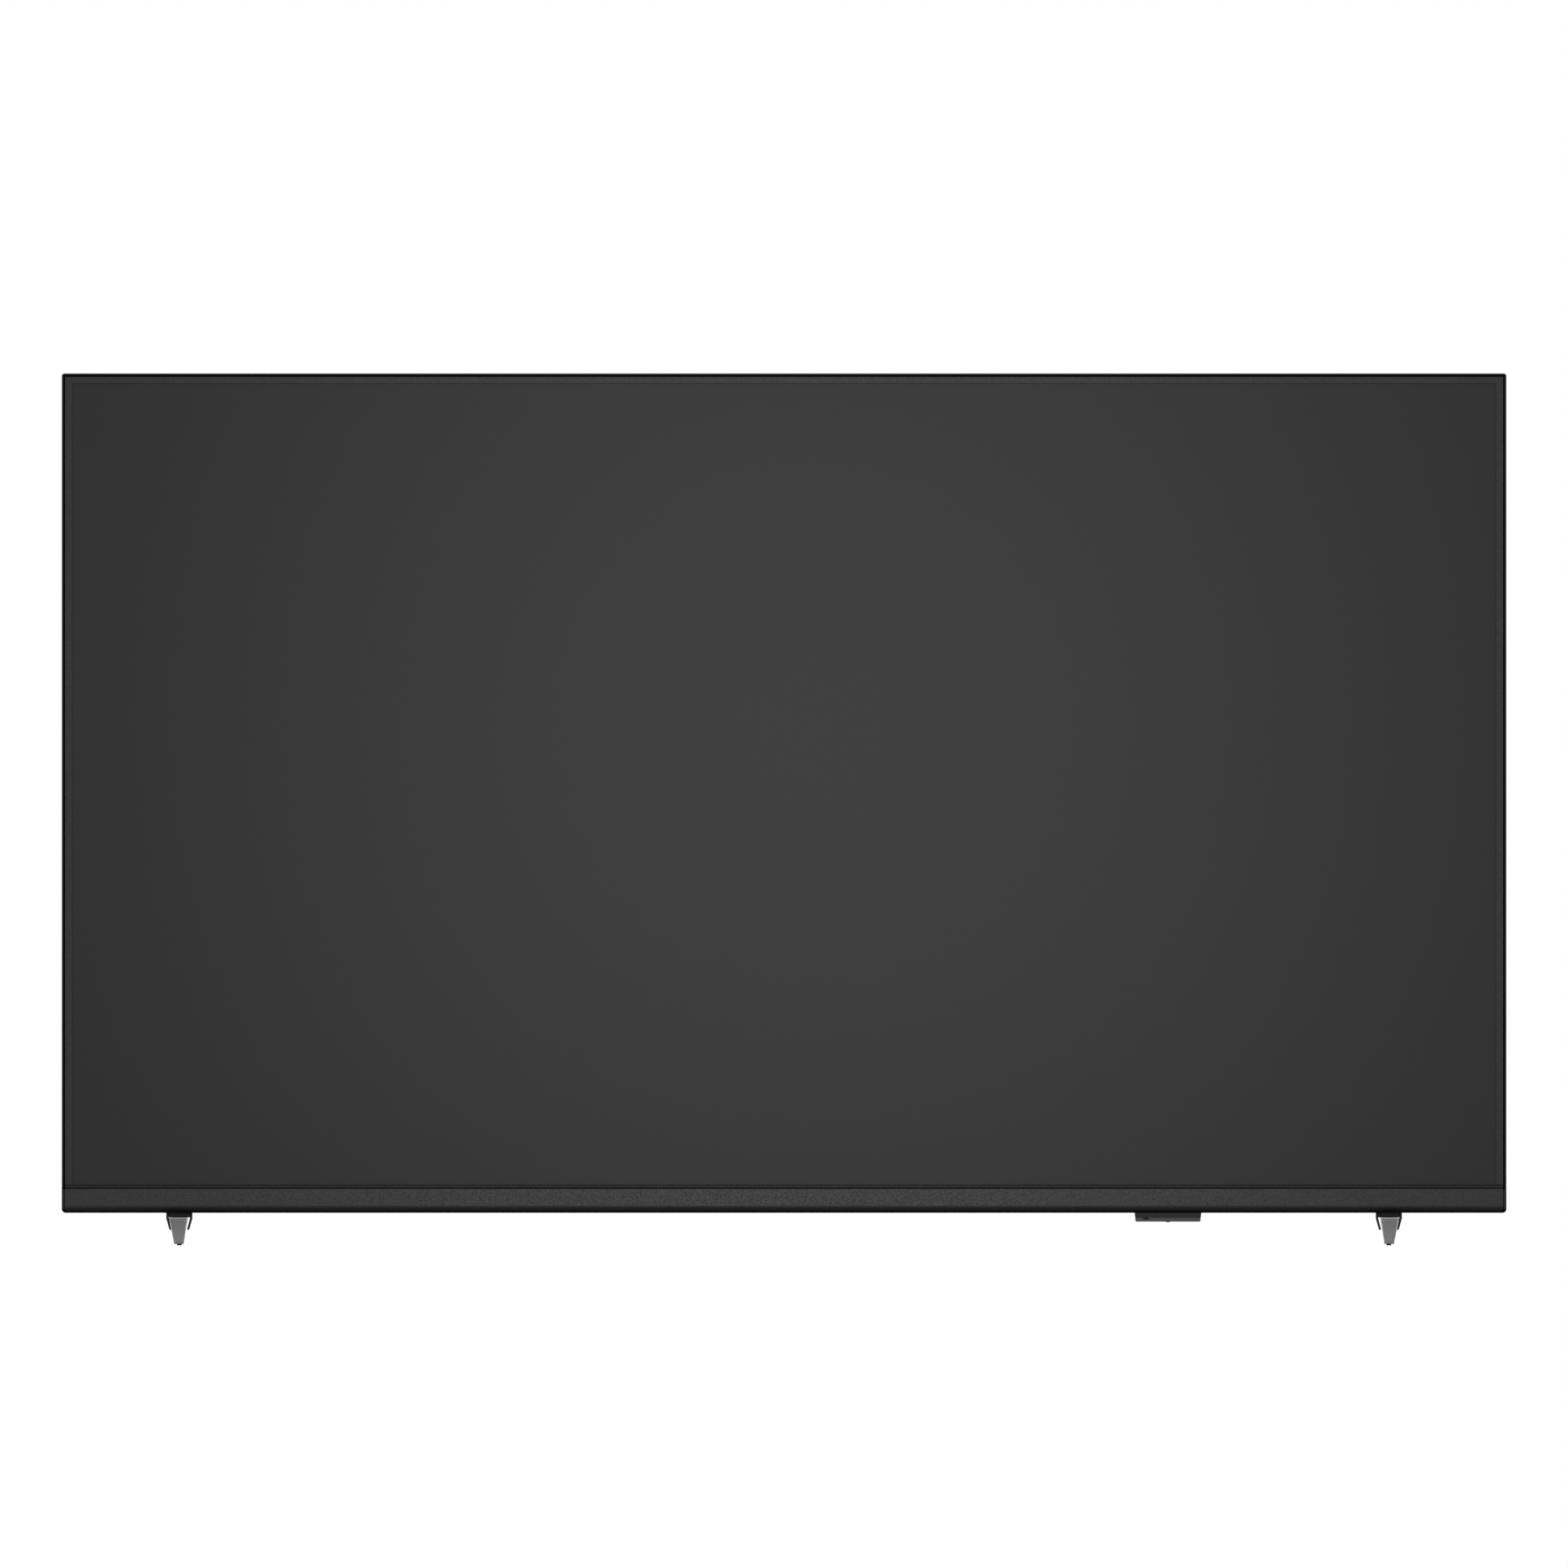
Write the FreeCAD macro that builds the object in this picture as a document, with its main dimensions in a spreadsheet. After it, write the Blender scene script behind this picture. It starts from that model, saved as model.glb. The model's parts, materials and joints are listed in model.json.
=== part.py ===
import FreeCAD, Part
import os

import Sketcher
from FreeCAD import Placement, Rotation, Vector

# Large format display, 65 inch class, on two feet.
# X runs to the viewer's right, the screen faces -Y, Z is up.
# The origin is on the floor, midway between the feet and midway between their front and rear toes.

# Driving dimensions in millimetres
SIZES = {
    # Screen and its visible border
    "active_wide": 1428.48,
    "active_tall": 803.52,
    "border_side": 6.9,
    "border_top": 6.7,
    "border_bottom": 3.3,
    "reveal_wide": 1.5,
    "lip_wide": 1.75,
    "seam_tall": 1.6,
    "ground_gap": 32.6,
    # Outer trim
    "front_reach": 30.0,
    "trim_deep": 14.0,
    "trim_leg": 8.0,
    "trim_corner": 2.7,
    "trim_low_corner": 3.7,
    "trim_foot": 6.0,
    "web_set_back": 4.5,
    "web_thick": 1.5,
    # Chin bar
    "chin_tall": 23.8,
    "chin_roll": 7.5,
    "chin_wall": 2.0,
    "chin_end_gap": 0.4,
    # Border strips
    "lip_proud": 1.6,
    "strip_thick": 1.0,
    "strip_leg": 1.2,
    "tongue_thick": 0.4,
    "tongue_tall": 8.0,
    # Screen cell, gasket and panel guide
    "cell_thick": 1.4,
    "cell_clear": 0.3,
    "cell_foot": 8.0,
    "gasket_thick": 0.8,
    "gasket_wide": 4.0,
    "sight_margin": 0.9,
    "guide_ledge": 1.5,
    "guide_skirt": 1.0,
    "guide_deep": 10.0,
    "guide_clear": 0.3,
    # Optical stack
    "film_count": 3,
    "film_thick": 0.3,
    "film_gap": 0.1,
    "film_margin": 2.5,
    "diffuser_thick": 2.0,
    "optical_gap": 12.4,
    "tray_thick": 0.4,
    "tray_slope": 12.0,
    "tray_inset": 2.0,
    "post_low_r": 2.5,
    "post_top_r": 0.8,
    "post_count": 4,
    "post_row_low": 1,
    "post_row_high": 5,
    # Light bars
    "bar_wide": 16.0,
    "bar_thick": 1.2,
    "bar_rows": 8,
    "bar_overhang": 12.0,
    "lens_r": 6.5,
    "lens_count": 10,
    "lens_clear": 0.6,
    "tray_clear": 0.1,
    # Back pan
    "pan_thick": 1.0,
    "pan_margin": 4.0,
    # Rear cover
    "rim_deep": 28.0,
    "total_deep": 64.0,
    "split_gap": 0.4,
    "cover_inset": 1.2,
    "cover_wall": 2.2,
    "cover_draft": 3.0,
    "bulge_side_margin": 154.24,
    "bulge_raise": 30.0,
    "bulge_over_mount": 76.3,
    "bulge_draft": 20.0,
    "bulge_draft_top": 40.0,
    "bulge_draft_low": 6.0,
    # Bays for the plugs
    "bay_top": 150.0,
    "bay_past_mount": 40.0,
    "bay_share": 0.515625,
    "side_bay_deep": 40.0,
    "side_bay_low": 180.0,
    "side_bay_tall": 140.0,
    # Vents
    "vent_wide": 4.0,
    "vent_pitch": 11.0,
    "vent_tall": 46.0,
    "vent_count_upper": 29,
    "vent_upper_drop": 130.0,
    "vent_count_side": 22,
    "vent_side_drop": 54.0,
    "grille_count": 9,
    "grille_long": 18.0,
    # Wall mount
    "mount_pitch": 400.0,
    "mount_bore_r": 4.0,
    "bush_r": 7.0,
    "bush_long": 16.0,
    "bush_clear": 0.3,
    "rail_wide": 30.0,
    "rail_wall": 1.6,
    "rail_end": 20.0,
    "seat_gap": 0.1,
    # Boards
    "board_thick": 1.6,
    "standoff_tall": 8.0,
    "standoff_r": 3.0,
    "board_screw_r": 1.4,
    "board_screw_head_r": 2.8,
    "board_screw_head": 1.8,
    "board_hole_inset": 6.0,
    "board_past_mount": 35.0,
    "board_side_margin": 45.0,
    "board_low_z": 156.0,
    "main_board_tall": 180.0,
    "power_board_tall": 210.0,
    "timing_board_half": 110.0,
    "timing_board_low": 76.0,
    "timing_board_tall": 60.0,
    "timing_cover_tall": 7.0,
    "timing_cover_inset": 12.0,
    "sheet_wall": 0.8,
    "source_board_wide": 12.0,
    "source_board_inner": 60.0,
    "source_board_margin": 154.0,
    # Chips, heatsink and sockets of the main board
    "chip_side": 27.0,
    "chip_tall": 2.0,
    "memory_wide": 14.0,
    "memory_tall": 9.0,
    "memory_thick": 1.2,
    "tuner_wide": 34.0,
    "tuner_tall": 26.0,
    "tuner_thick": 8.0,
    "processor_inset": 165.0,
    "processor_z": 260.0,
    "heatsink_side": 46.0,
    "heatsink_base": 3.0,
    "heatsink_tall": 12.0,
    "fin_thick": 1.5,
    "fin_count": 8,
    "socket_set_in": 0.4,
    "socket_clear": 0.3,
    "socket_wall": 0.5,
    "hdmi_wide": 15.0,
    "hdmi_tall": 5.6,
    "hdmi_deep": 12.0,
    "usb_wide": 13.1,
    "usb_tall": 6.0,
    "usb_deep": 14.0,
    "socket_tongue": 1.4,
    "lan_wide": 16.0,
    "lan_tall": 13.5,
    "lan_deep": 18.0,
    "lan_bore_wide": 12.0,
    "lan_bore_tall": 8.6,
    "lan_bore_deep": 14.0,
    "aerial_r": 4.7,
    "aerial_bore_r": 1.2,
    "jack_side": 8.0,
    "jack_bore_r": 1.8,
    "jack_deep": 12.0,
    "shield_margin": 9.0,
    "side_socket_pitch": 30.0,
    # Power board parts
    "transformer_wide": 46.0,
    "transformer_tall": 40.0,
    "transformer_deep": 26.0,
    "capacitor_r": 11.0,
    "capacitor_deep": 25.0,
    "capacitor_pitch": 26.0,
    "capacitor_count": 4,
    "sink_long": 80.0,
    "sink_apart": 16.0,
    "sink_thick": 3.0,
    "sink_deep": 24.0,
    # Speakers
    "speaker_past_bay": 13.0,
    "speaker_side_margin": 28.0,
    "speaker_low_z": 76.0,
    "speaker_high_z": 148.0,
    "speaker_deep": 30.0,
    "speaker_wall": 2.0,
    "driver_r": 13.0,
    "driver_flange": 2.0,
    "driver_neck_r": 9.0,
    "driver_cone": 12.0,
    "driver_magnet": 8.0,
    # Mains inlet and rocker
    "inlet_y": 16.0,
    "inlet_flange_wide": 30.0,
    "inlet_flange_deep": 24.0,
    "inlet_flange": 1.6,
    "inlet_wide": 27.0,
    "inlet_deep": 20.0,
    "inlet_tall": 20.0,
    "inlet_bore_wide": 24.0,
    "inlet_bore_deep": 17.0,
    "inlet_bore_tall": 17.5,
    "pin_wide": 2.0,
    "pin_deep": 4.0,
    "pin_long": 15.0,
    "pin_tab": 8.0,
    "pin_offset": 7.0,
    "pin_shift": 2.2,
    "pin_clear": 0.05,
    "rocker_flange_wide": 21.0,
    "rocker_flange_deep": 15.0,
    "rocker_case_wide": 19.0,
    "rocker_case_deep": 13.0,
    "rocker_case_tall": 10.0,
    "rocker_bore_wide": 17.0,
    "rocker_bore_deep": 11.0,
    "rocker_half": 7.2,
    "rocker_deep": 10.4,
    "rocker_drop": 5.2,
    "rocker_notch": 1.0,
    "rocker_rise": 2.5,
    "rocker_pivot_up": 3.0,
    "rocker_pin_r": 1.2,
    "rocker_pin_fit": 0.05,
    "rocker_pin_end": 0.1,
    "rocker_lean": 7.0,
    # Sensor box and its button
    "sensor_side_margin": 329.24,
    "sensor_wide": 66.9,
    "sensor_low_wide": 64.8,
    "sensor_tall": 8.8,
    "sensor_band": 4.3,
    "sensor_front": 26.0,
    "sensor_lean": 1.6,
    "sensor_deep": 22.0,
    "sensor_wall": 1.4,
    "window_shift": 22.4,
    "window_wide": 5.1,
    "window_tall": 1.6,
    "window_drop": 5.0,
    "window_thick": 2.4,
    "window_clear": 0.05,
    "sensor_board_long": 56.0,
    "sensor_board_deep": 14.0,
    "sensor_board_thick": 1.2,
    "button_y": 14.5,
    "button_r": 2.05,
    "button_flange_r": 2.9,
    "button_flange": 0.6,
    "button_fit": 0.08,
    "button_proud": 0.6,
    "button_travel": 0.4,
    "switch_side": 6.0,
    "switch_tall": 1.6,
    "button_rest_gap": 0.05,
    "plunger_r": 1.2,
    "receiver_side": 4.6,
    # Feet
    "foot_past_bulge": 46.5,
    "neck_wide": 26.3,
    "neck_deep": 20.0,
    "neck_low": 28.3,
    "neck_high": 38.0,
    "neck_recess": 1.0,
    "neck_side": 2.6,
    "cheek_thick": 1.55,
    "cheek_start": 27.5,
    "cheek_end": 15.5,
    "cheek_end_half": 9.7,
    "cheek_proud": 2.0,
    "leg_reach": 150.0,
    "leg_top": 27.9,
    "leg_hub_low": 15.0,
    "leg_hub_half": 10.0,
    "leg_top_half": 10.8,
    "leg_low_half": 4.65,
    "leg_mid": 78.0,
    "leg_mid_top": 18.5,
    "leg_mid_low": 9.6,
    "leg_heel": 128.0,
    "leg_heel_top": 10.8,
    "leg_toe_top": 7.0,
    "leg_bevel": 2.0,
    "leg_bevel_end": 0.2,
    "tenon_half": 10.0,
    "tenon_deep": 10.0,
    "tenon_top": 120.0,
    "foot_fit": 0.2,
    "pad_thick": 1.4,
    "pad_wide": 4.8,
    "pad_long": 16.0,
    "pad_inset": 3.0,
    "bracket_wall": 1.6,
    "bracket_low": 41.0,
    "bracket_top": 126.0,
    "bracket_flange_half": 26.0,
    "bracket_flange_low": 62.0,
    "boss_half": 32.0,
    "boss_back": 15.0,
    "boss_top": 150.0,
    "boss_draft": 4.0,
    "foot_screw_r": 1.9,
    "foot_screw_head_r": 3.8,
    "foot_screw_head": 2.4,
    "foot_screw_low_z": 66.0,
    "foot_screw_pitch": 36.0,
    # Cover screws
    "cover_screw_r": 1.5,
    "cover_screw_head_r": 3.2,
    "cover_screw_head": 1.8,
    "cover_screw_grip": 0.8,
    "screw_clear": 0.3,
    "cross_wide": 0.9,
    "cross_long": 3.6,
    "cross_deep": 1.0,
    "cover_screw_inset": 24.0,
    "cover_screw_columns": 5,
    "cover_screw_row_inset": 44.24,
    # Ribbons and wires
    "ribbon_thick": 0.3,
    "ribbon_wide": 24.0,
    "ribbon_x": 78.0,
    "ribbon_dip": 5.0,
    "video_ribbon_wide": 13.0,
    "wire_r": 2.0,
    "wire_turn": 12.0,
    "thin_wire_r": 0.9,
    "thin_wire_turn": 4.0,
    "sensor_lead_shift": 14.0,
    "sensor_lead_set_back": 19.0,
}

DOC = FreeCAD.newDocument("large_format_display")


class Size:
    """A length that carries its value and the sheet expression it comes from."""

    def __init__(self, value, text):
        self.value = value
        self.text = text

    def __add__(self, other):
        other = as_size(other)
        return Size(self.value + other.value, "(%s + %s)" % (self.text, other.text))

    def __radd__(self, other):
        return as_size(other) + self

    def __sub__(self, other):
        other = as_size(other)
        return Size(self.value - other.value, "(%s - %s)" % (self.text, other.text))

    def __rsub__(self, other):
        return as_size(other) - self

    def __mul__(self, other):
        other = as_size(other)
        return Size(self.value * other.value, "(%s * %s)" % (self.text, other.text))

    def __rmul__(self, other):
        return as_size(other) * self

    def __truediv__(self, other):
        other = as_size(other)
        return Size(self.value / other.value, "(%s / %s)" % (self.text, other.text))

    def __neg__(self):
        return Size(-self.value, "(0 - %s)" % self.text)


def as_size(number):
    if isinstance(number, Size):
        return number
    return Size(float(number), "(%r)" % float(number))


class Sheet:
    """The driving dimensions, read by name as s.name."""

    def __init__(self, sizes):
        self.cells = DOC.addObject("Spreadsheet::Sheet", "Sizes")
        for row, (alias, value) in enumerate(sizes.items(), 1):
            self.cells.set("A%d" % row, alias)
            self.cells.set("B%d" % row, str(value))
            self.cells.setAlias("B%d" % row, alias)
        DOC.recompute()

    def __getattr__(self, alias):
        return Size(float(self.cells.get(alias)), "Sizes." + alias)


s = Sheet(SIZES)
NODES = []


# Helpers that make bound objects

def bind(item, path, size):
    item.setExpression(path, as_size(size).text)


def move_to(item, x, y, z):
    bind(item, "Placement.Base.x", x)
    bind(item, "Placement.Base.y", y)
    bind(item, "Placement.Base.z", z)


def span(middle, wide):
    """The two ends of a width about its middle."""
    return (middle - wide / 2, middle + wide / 2)


def from_low(low, size):
    return (low, low + size)


def mirrored(pair, side):
    """A pair of places on the right (side 1) or the same pair on the left (side -1)."""
    if side > 0:
        return pair
    return (-pair[1], -pair[0])


def node(name, item):
    """Name a finished sub-part: its label is its file's name."""
    item.Label = name
    NODES.append(item)
    return item


def block(name, across, deep, high):
    """A box between two places on each axis: across is X, deep is Y, high is Z."""
    box = DOC.addObject("Part::Box", name)
    bind(box, "Length", across[1] - across[0])
    bind(box, "Width", deep[1] - deep[0])
    bind(box, "Height", high[1] - high[0])
    move_to(box, as_size(across[0]), as_size(deep[0]), as_size(high[0]))
    return box


TURNS = {
    "x": Rotation(Vector(0, 1, 0), 90),
    "y": Rotation(Vector(1, 0, 0), -90),
    "z": Rotation(),
}


def along(axis, middle, start):
    """The base point of a round piece: middle is its place on the two axes across it."""
    if axis == "x":
        return (start, middle[0], middle[1])
    if axis == "y":
        return (middle[0], start, middle[1])
    return (middle[0], middle[1], start)


def rod(name, axis, middle, radius, ends):
    """A cylinder along one axis, between two places on it."""
    piece = DOC.addObject("Part::Cylinder", name)
    piece.Placement = Placement(Vector(), TURNS[axis])
    bind(piece, "Radius", radius)
    bind(piece, "Height", ends[1] - ends[0])
    move_to(piece, *along(axis, middle, ends[0]))
    return piece


def taper(name, axis, middle, radii, ends):
    """A cone along one axis, with a radius at each end."""
    piece = DOC.addObject("Part::Cone", name)
    piece.Placement = Placement(Vector(), TURNS[axis])
    bind(piece, "Radius1", radii[0])
    bind(piece, "Radius2", radii[1])
    bind(piece, "Height", ends[1] - ends[0])
    move_to(piece, *along(axis, middle, ends[0]))
    return piece


def drafted(name, front, back, deep):
    """A block whose sides slope: a rectangle (x0, x1, z0, z1) at its front and one at its back."""
    piece = DOC.addObject("Part::Wedge", name)
    places = {
        "Xmin": front[0], "Xmax": front[1], "Zmin": front[2], "Zmax": front[3],
        "X2min": back[0], "X2max": back[1], "Z2min": back[2], "Z2max": back[3],
        "Ymin": deep[0], "Ymax": deep[1],
    }
    start = {
        "Xmin": -1, "Xmax": 1, "Zmin": -1, "Zmax": 1,
        "X2min": -1, "X2max": 1, "Z2min": -1, "Z2max": 1,
        "Ymin": -1, "Ymax": 1,
    }
    for path, value in start.items():
        setattr(piece, path, value)
    for path, place in places.items():
        bind(piece, path, place)
    return piece


def group(name, parts):
    """Separate solids that make one node."""
    item = DOC.addObject("Part::Compound", name)
    item.Links = parts
    return item


def join(name, parts):
    item = DOC.addObject("Part::MultiFuse", name)
    item.Shapes = parts
    item.Refine = True
    return item


def cut(name, base, tools):
    """The base less its tools, which don't overlap one another."""
    item = DOC.addObject("Part::Cut", name)
    item.Base = base
    item.Tool = tools[0] if len(tools) == 1 else group(name + "_tools", tools)
    item.Refine = True
    return item


def overlap_of(name, first, second):
    item = DOC.addObject("Part::Common", name)
    item.Base = first
    item.Tool = second
    return item


# Sketches: the front view is X and Z, the top view X and Y, the side view Y and Z

VIEWS = {"front": ("XZ_Plane", -1), "top": ("XY_Plane", 1), "side": ("YZ_Plane", 1)}


def origin_plane(body, role):
    return [item for item in body.Origin.OriginFeatures if item.Role == role][0]


def sketch_in(body, view, place, outlines, circles=()):
    """A sketch square to a view, at a place along that view's axis."""
    role, sign = VIEWS[view]
    sketch = body.newObject("Sketcher::SketchObject", body.Name + "_sketch")
    sketch.AttachmentSupport = [(origin_plane(body, role), "")]
    sketch.MapMode = "FlatFace"
    bind(sketch, "AttachmentOffset.Base.z", place * sign)
    for corners in outlines:
        draw_outline(sketch, corners)
    for middle_u, middle_v, radius in circles:
        draw_circle(sketch, middle_u, middle_v, radius)
    return sketch


def dimension(sketch, kind, where, size):
    """A distance from the sketch's origin to a point, bound to the sheet."""
    edge, point = where
    index = sketch.addConstraint(Sketcher.Constraint(kind, -1, 1, edge, point, size.value))
    bind(sketch, "Constraints[%d]" % index, size)


def draw_outline(sketch, corners):
    corners = [(as_size(u), as_size(v)) for u, v in corners]
    points = [Vector(u.value, v.value, 0) for u, v in corners]
    first = sketch.GeometryCount
    count = len(corners)
    for index in range(count):
        sketch.addGeometry(Part.LineSegment(points[index], points[(index + 1) % count]))
    for index, (u, v) in enumerate(corners):
        before = first + (index - 1) % count
        sketch.addConstraint(Sketcher.Constraint("Coincident", before, 2, first + index, 1))
        dimension(sketch, "DistanceX", (first + index, 1), u)
        dimension(sketch, "DistanceY", (first + index, 1), v)


def draw_circle(sketch, middle_u, middle_v, radius):
    middle_u, middle_v, radius = as_size(middle_u), as_size(middle_v), as_size(radius)
    middle = Vector(middle_u.value, middle_v.value, 0)
    edge = sketch.addGeometry(Part.Circle(middle, Vector(0, 0, 1), radius.value))
    dimension(sketch, "DistanceX", (edge, 3), middle_u)
    dimension(sketch, "DistanceY", (edge, 3), middle_v)
    index = sketch.addConstraint(Sketcher.Constraint("Radius", edge, radius.value))
    bind(sketch, "Constraints[%d]" % index, radius)


def body_named(name):
    return DOC.addObject("PartDesign::Body", name)


def pad(body, view, ends, outlines, circles=()):
    """Material between two places along a view's axis."""
    feature = body.newObject("PartDesign::Pad", body.Name + "_pad")
    feature.Profile = sketch_in(body, view, as_size(ends[0]), outlines, circles)
    bind(feature, "Length", ends[1] - ends[0])
    feature.Reversed = view == "front"
    return feature


def pocket(body, view, ends, outlines, circles=()):
    """A cut between two places along a view's axis."""
    feature = body.newObject("PartDesign::Pocket", body.Name + "_pocket")
    feature.Profile = sketch_in(body, view, as_size(ends[0]), outlines, circles)
    bind(feature, "Length", ends[1] - ends[0])
    feature.Reversed = view != "front"
    return feature


def rounded(body, radius, chosen):
    """Round the edges of the body's tip that a test picks out by their middle point."""
    DOC.recompute()
    base = body.Tip
    names = [
        "Edge%d" % (index + 1)
        for index, edge in enumerate(base.Shape.Edges)
        if chosen(edge.BoundBox)
    ]
    feature = body.newObject("PartDesign::Fillet", body.Name + "_round")
    feature.Base = (base, names)
    bind(feature, "Radius", radius)
    return feature


def near(value, size):
    return abs(value - as_size(size).value) < 0.01


def is_line_at(box, fixed):
    """Whether an edge is a line along the one axis that isn't fixed, at the fixed places."""
    low = {"x": box.XMin, "y": box.YMin, "z": box.ZMin}
    high = {"x": box.XMax, "y": box.YMax, "z": box.ZMax}
    return all(near(low[axis], at) and near(high[axis], at) for axis, at in fixed.items())


def rectangle(u_pair, v_pair):
    return [
        (u_pair[0], v_pair[0]), (u_pair[1], v_pair[0]),
        (u_pair[1], v_pair[1]), (u_pair[0], v_pair[1]),
    ]


# Places that several pieces share

half_active = s.active_wide / 2
half_border = half_active + s.border_side
half_reveal = half_border + s.reveal_wide
half_out = half_reveal + s.lip_wide

z_chin_top = s.ground_gap + s.chin_tall
z_strip = z_chin_top + s.seam_tall
z_active = z_strip + s.border_bottom
z_active_top = z_active + s.active_tall
z_border_top = z_active_top + s.border_top
z_reveal_top = z_border_top + s.reveal_wide
z_top = z_reveal_top + s.lip_wide
z_mount = (s.ground_gap + z_top) / 2

y_lip = -s.front_reach
y_trim_back = y_lip + s.trim_deep
y_web = y_lip + s.web_set_back
y_strip = y_lip + s.lip_proud
y_cell = y_strip + s.strip_thick
y_cell_back = y_cell + s.cell_thick
y_ledge = y_cell_back + s.gasket_thick
y_ledge_back = y_ledge + s.guide_ledge
y_film = y_ledge_back + s.film_gap
y_diffuser = y_film + s.film_count * (s.film_thick + s.film_gap)
y_diffuser_back = y_diffuser + s.diffuser_thick
y_brim_back = y_diffuser_back + s.tray_thick
y_floor = y_diffuser_back + s.optical_gap
y_pan_back = y_floor + s.pan_thick
y_bar = y_floor - s.bar_thick
y_tray_back = y_bar - s.tray_clear
y_rim_back = y_lip + s.rim_deep
y_rim_inside = y_rim_back - s.cover_wall
y_back = y_lip + s.total_deep
y_back_inside = y_back - s.cover_wall
y_board = y_pan_back + s.standoff_tall
y_board_back = y_board + s.board_thick

mount_reach = s.mount_pitch / 2
bulge_half = half_active - s.bulge_side_margin
bulge_low = s.ground_gap + s.bulge_raise
bulge_high = z_mount + mount_reach + s.bulge_over_mount
z_cover_low = s.ground_gap + s.cover_inset

bay_inner = mount_reach + s.bay_past_mount
bay_outer = bay_inner + (bulge_half - bay_inner) * s.bay_share
board_inner = mount_reach + s.board_past_mount
board_outer = bulge_half - s.board_side_margin
speaker_inner = bay_outer + s.speaker_past_bay
speaker_outer = bulge_half - s.speaker_side_margin
processor_x = -(board_inner + s.processor_inset)
inlet_x = (7 * bay_inner + 3 * bay_outer) / 10
rocker_x = (bay_inner + 2 * bay_outer) / 3
sensor_x = half_active - s.sensor_side_margin
sensor_lead_x = sensor_x - s.sensor_lead_shift
foot_x = bulge_half + s.foot_past_bulge
bar_pitch = s.active_tall / s.bar_rows
lens_pitch = s.active_wide / (s.lens_count + 1)
post_pitch = s.active_wide / s.post_count

SIDES = (("left", -1), ("right", 1))


def around_active(margin):
    """A rectangle that stands a margin outside the lit area, as an outline."""
    across = (-(half_active + margin), half_active + margin)
    return rectangle(across, (z_active - margin, z_active_top + margin))


# Screen, strips and optical stack

def make_screen_cell():
    half = half_border - s.strip_leg - s.cell_clear
    high = (z_active - s.cell_foot, z_border_top - s.strip_leg - s.cell_clear)
    node("screen_cell", block("cell_box", (-half, half), (y_cell, y_cell_back), high))


def make_cell_gasket():
    body = body_named("gasket_ring")
    outer = s.sight_margin + s.gasket_wide
    pad(body, "front", (y_cell_back, y_ledge), [around_active(outer), around_active(s.sight_margin)])
    node("cell_gasket", body)


def make_panel_guide():
    body = body_named("guide_frame")
    inner = s.pan_margin + s.guide_clear
    outer = inner + s.guide_skirt
    pad(body, "front", (y_ledge, y_ledge_back), [around_active(outer), around_active(s.sight_margin)])
    skirt = (y_ledge_back, y_ledge_back + s.guide_deep)
    pad(body, "front", skirt, [around_active(outer), around_active(inner)])
    node("panel_guide", body)


def sheet_block(name, deep):
    """A film or plate of the optical stack."""
    half = half_active + s.film_margin
    return block(name, (-half, half), deep, (z_active - s.film_margin, z_active_top + s.film_margin))


def make_optical_films():
    films = []
    for index in range(int(s.film_count.value)):
        front = y_film + index * (s.film_thick + s.film_gap)
        films.append(sheet_block("film_%d" % index, from_low(front, s.film_thick)))
    node("optical_films", group("film_stack", films))


def make_diffuser_plate():
    node("diffuser_plate", sheet_block("diffuser_sheet", (y_diffuser, y_diffuser_back)))


def bar_places():
    """The heights of the light bars."""
    lowest = z_active + (s.active_tall - bar_pitch * (s.bar_rows - 1)) / 2
    return [lowest + bar_pitch * row for row in range(int(s.bar_rows.value))]


def lens_places():
    first = -(lens_pitch * (s.lens_count - 1)) / 2
    return [first + lens_pitch * column for column in range(int(s.lens_count.value))]


def make_diffuser_posts():
    posts = []
    first = -(post_pitch * (s.post_count - 1)) / 2
    heights = bar_places()
    for column in range(int(s.post_count.value)):
        for row in (int(s.post_row_low.value), int(s.post_row_high.value)):
            height = heights[row] + bar_pitch / 2
            name = "post_%d_%d" % (column, row)
            ends = (y_diffuser_back, y_tray_back - s.tray_thick)
            middle = (first + post_pitch * column, height)
            posts.append(taper(name, "y", middle, (s.post_top_r, s.post_low_r), ends))
    node("diffuser_posts", group("post_set", posts))


def tray_shape(name, margin, deep):
    """The sloping hollow of the reflector, wide at the front and narrow on the pan's floor."""
    wide = half_active - s.tray_inset + margin
    narrow = wide - s.tray_slope
    low = z_active + s.tray_inset - margin
    high = z_active_top - s.tray_inset + margin
    front = (-wide, wide, low, high)
    back = (-narrow, narrow, low + s.tray_slope, high - s.tray_slope)
    return drafted(name, front, back, deep)


def make_reflector_tray():
    outer = tray_shape("tray_outside", s.tray_thick, (y_diffuser_back, y_tray_back))
    brim = sheet_block("tray_brim", (y_diffuser_back, y_brim_back))
    solid = join("tray_solid", [brim, outer])
    inner = tray_shape("tray_inside", as_size(0), (y_diffuser_back, y_tray_back - s.tray_thick))
    shell = cut("tray_shell", solid, [inner])
    holes = []
    through = (y_tray_back - 2 * s.tray_thick, y_bar)
    for row, height in enumerate(bar_places()):
        for column, place in enumerate(lens_places()):
            name = "lens_hole_%d_%d" % (row, column)
            holes.append(rod(name, "y", (place, height), s.lens_r + s.lens_clear, through))
    node("reflector_tray", cut("tray_pierced", shell, holes))


def make_led_bars():
    half = lens_pitch * (s.lens_count - 1) / 2 + s.bar_overhang
    bars = []
    for row, height in enumerate(bar_places()):
        bars.append(block("bar_%d" % row, (-half, half), (y_bar, y_floor), span(height, s.bar_wide)))
    node("led_bars", group("bar_set", bars))


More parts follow.
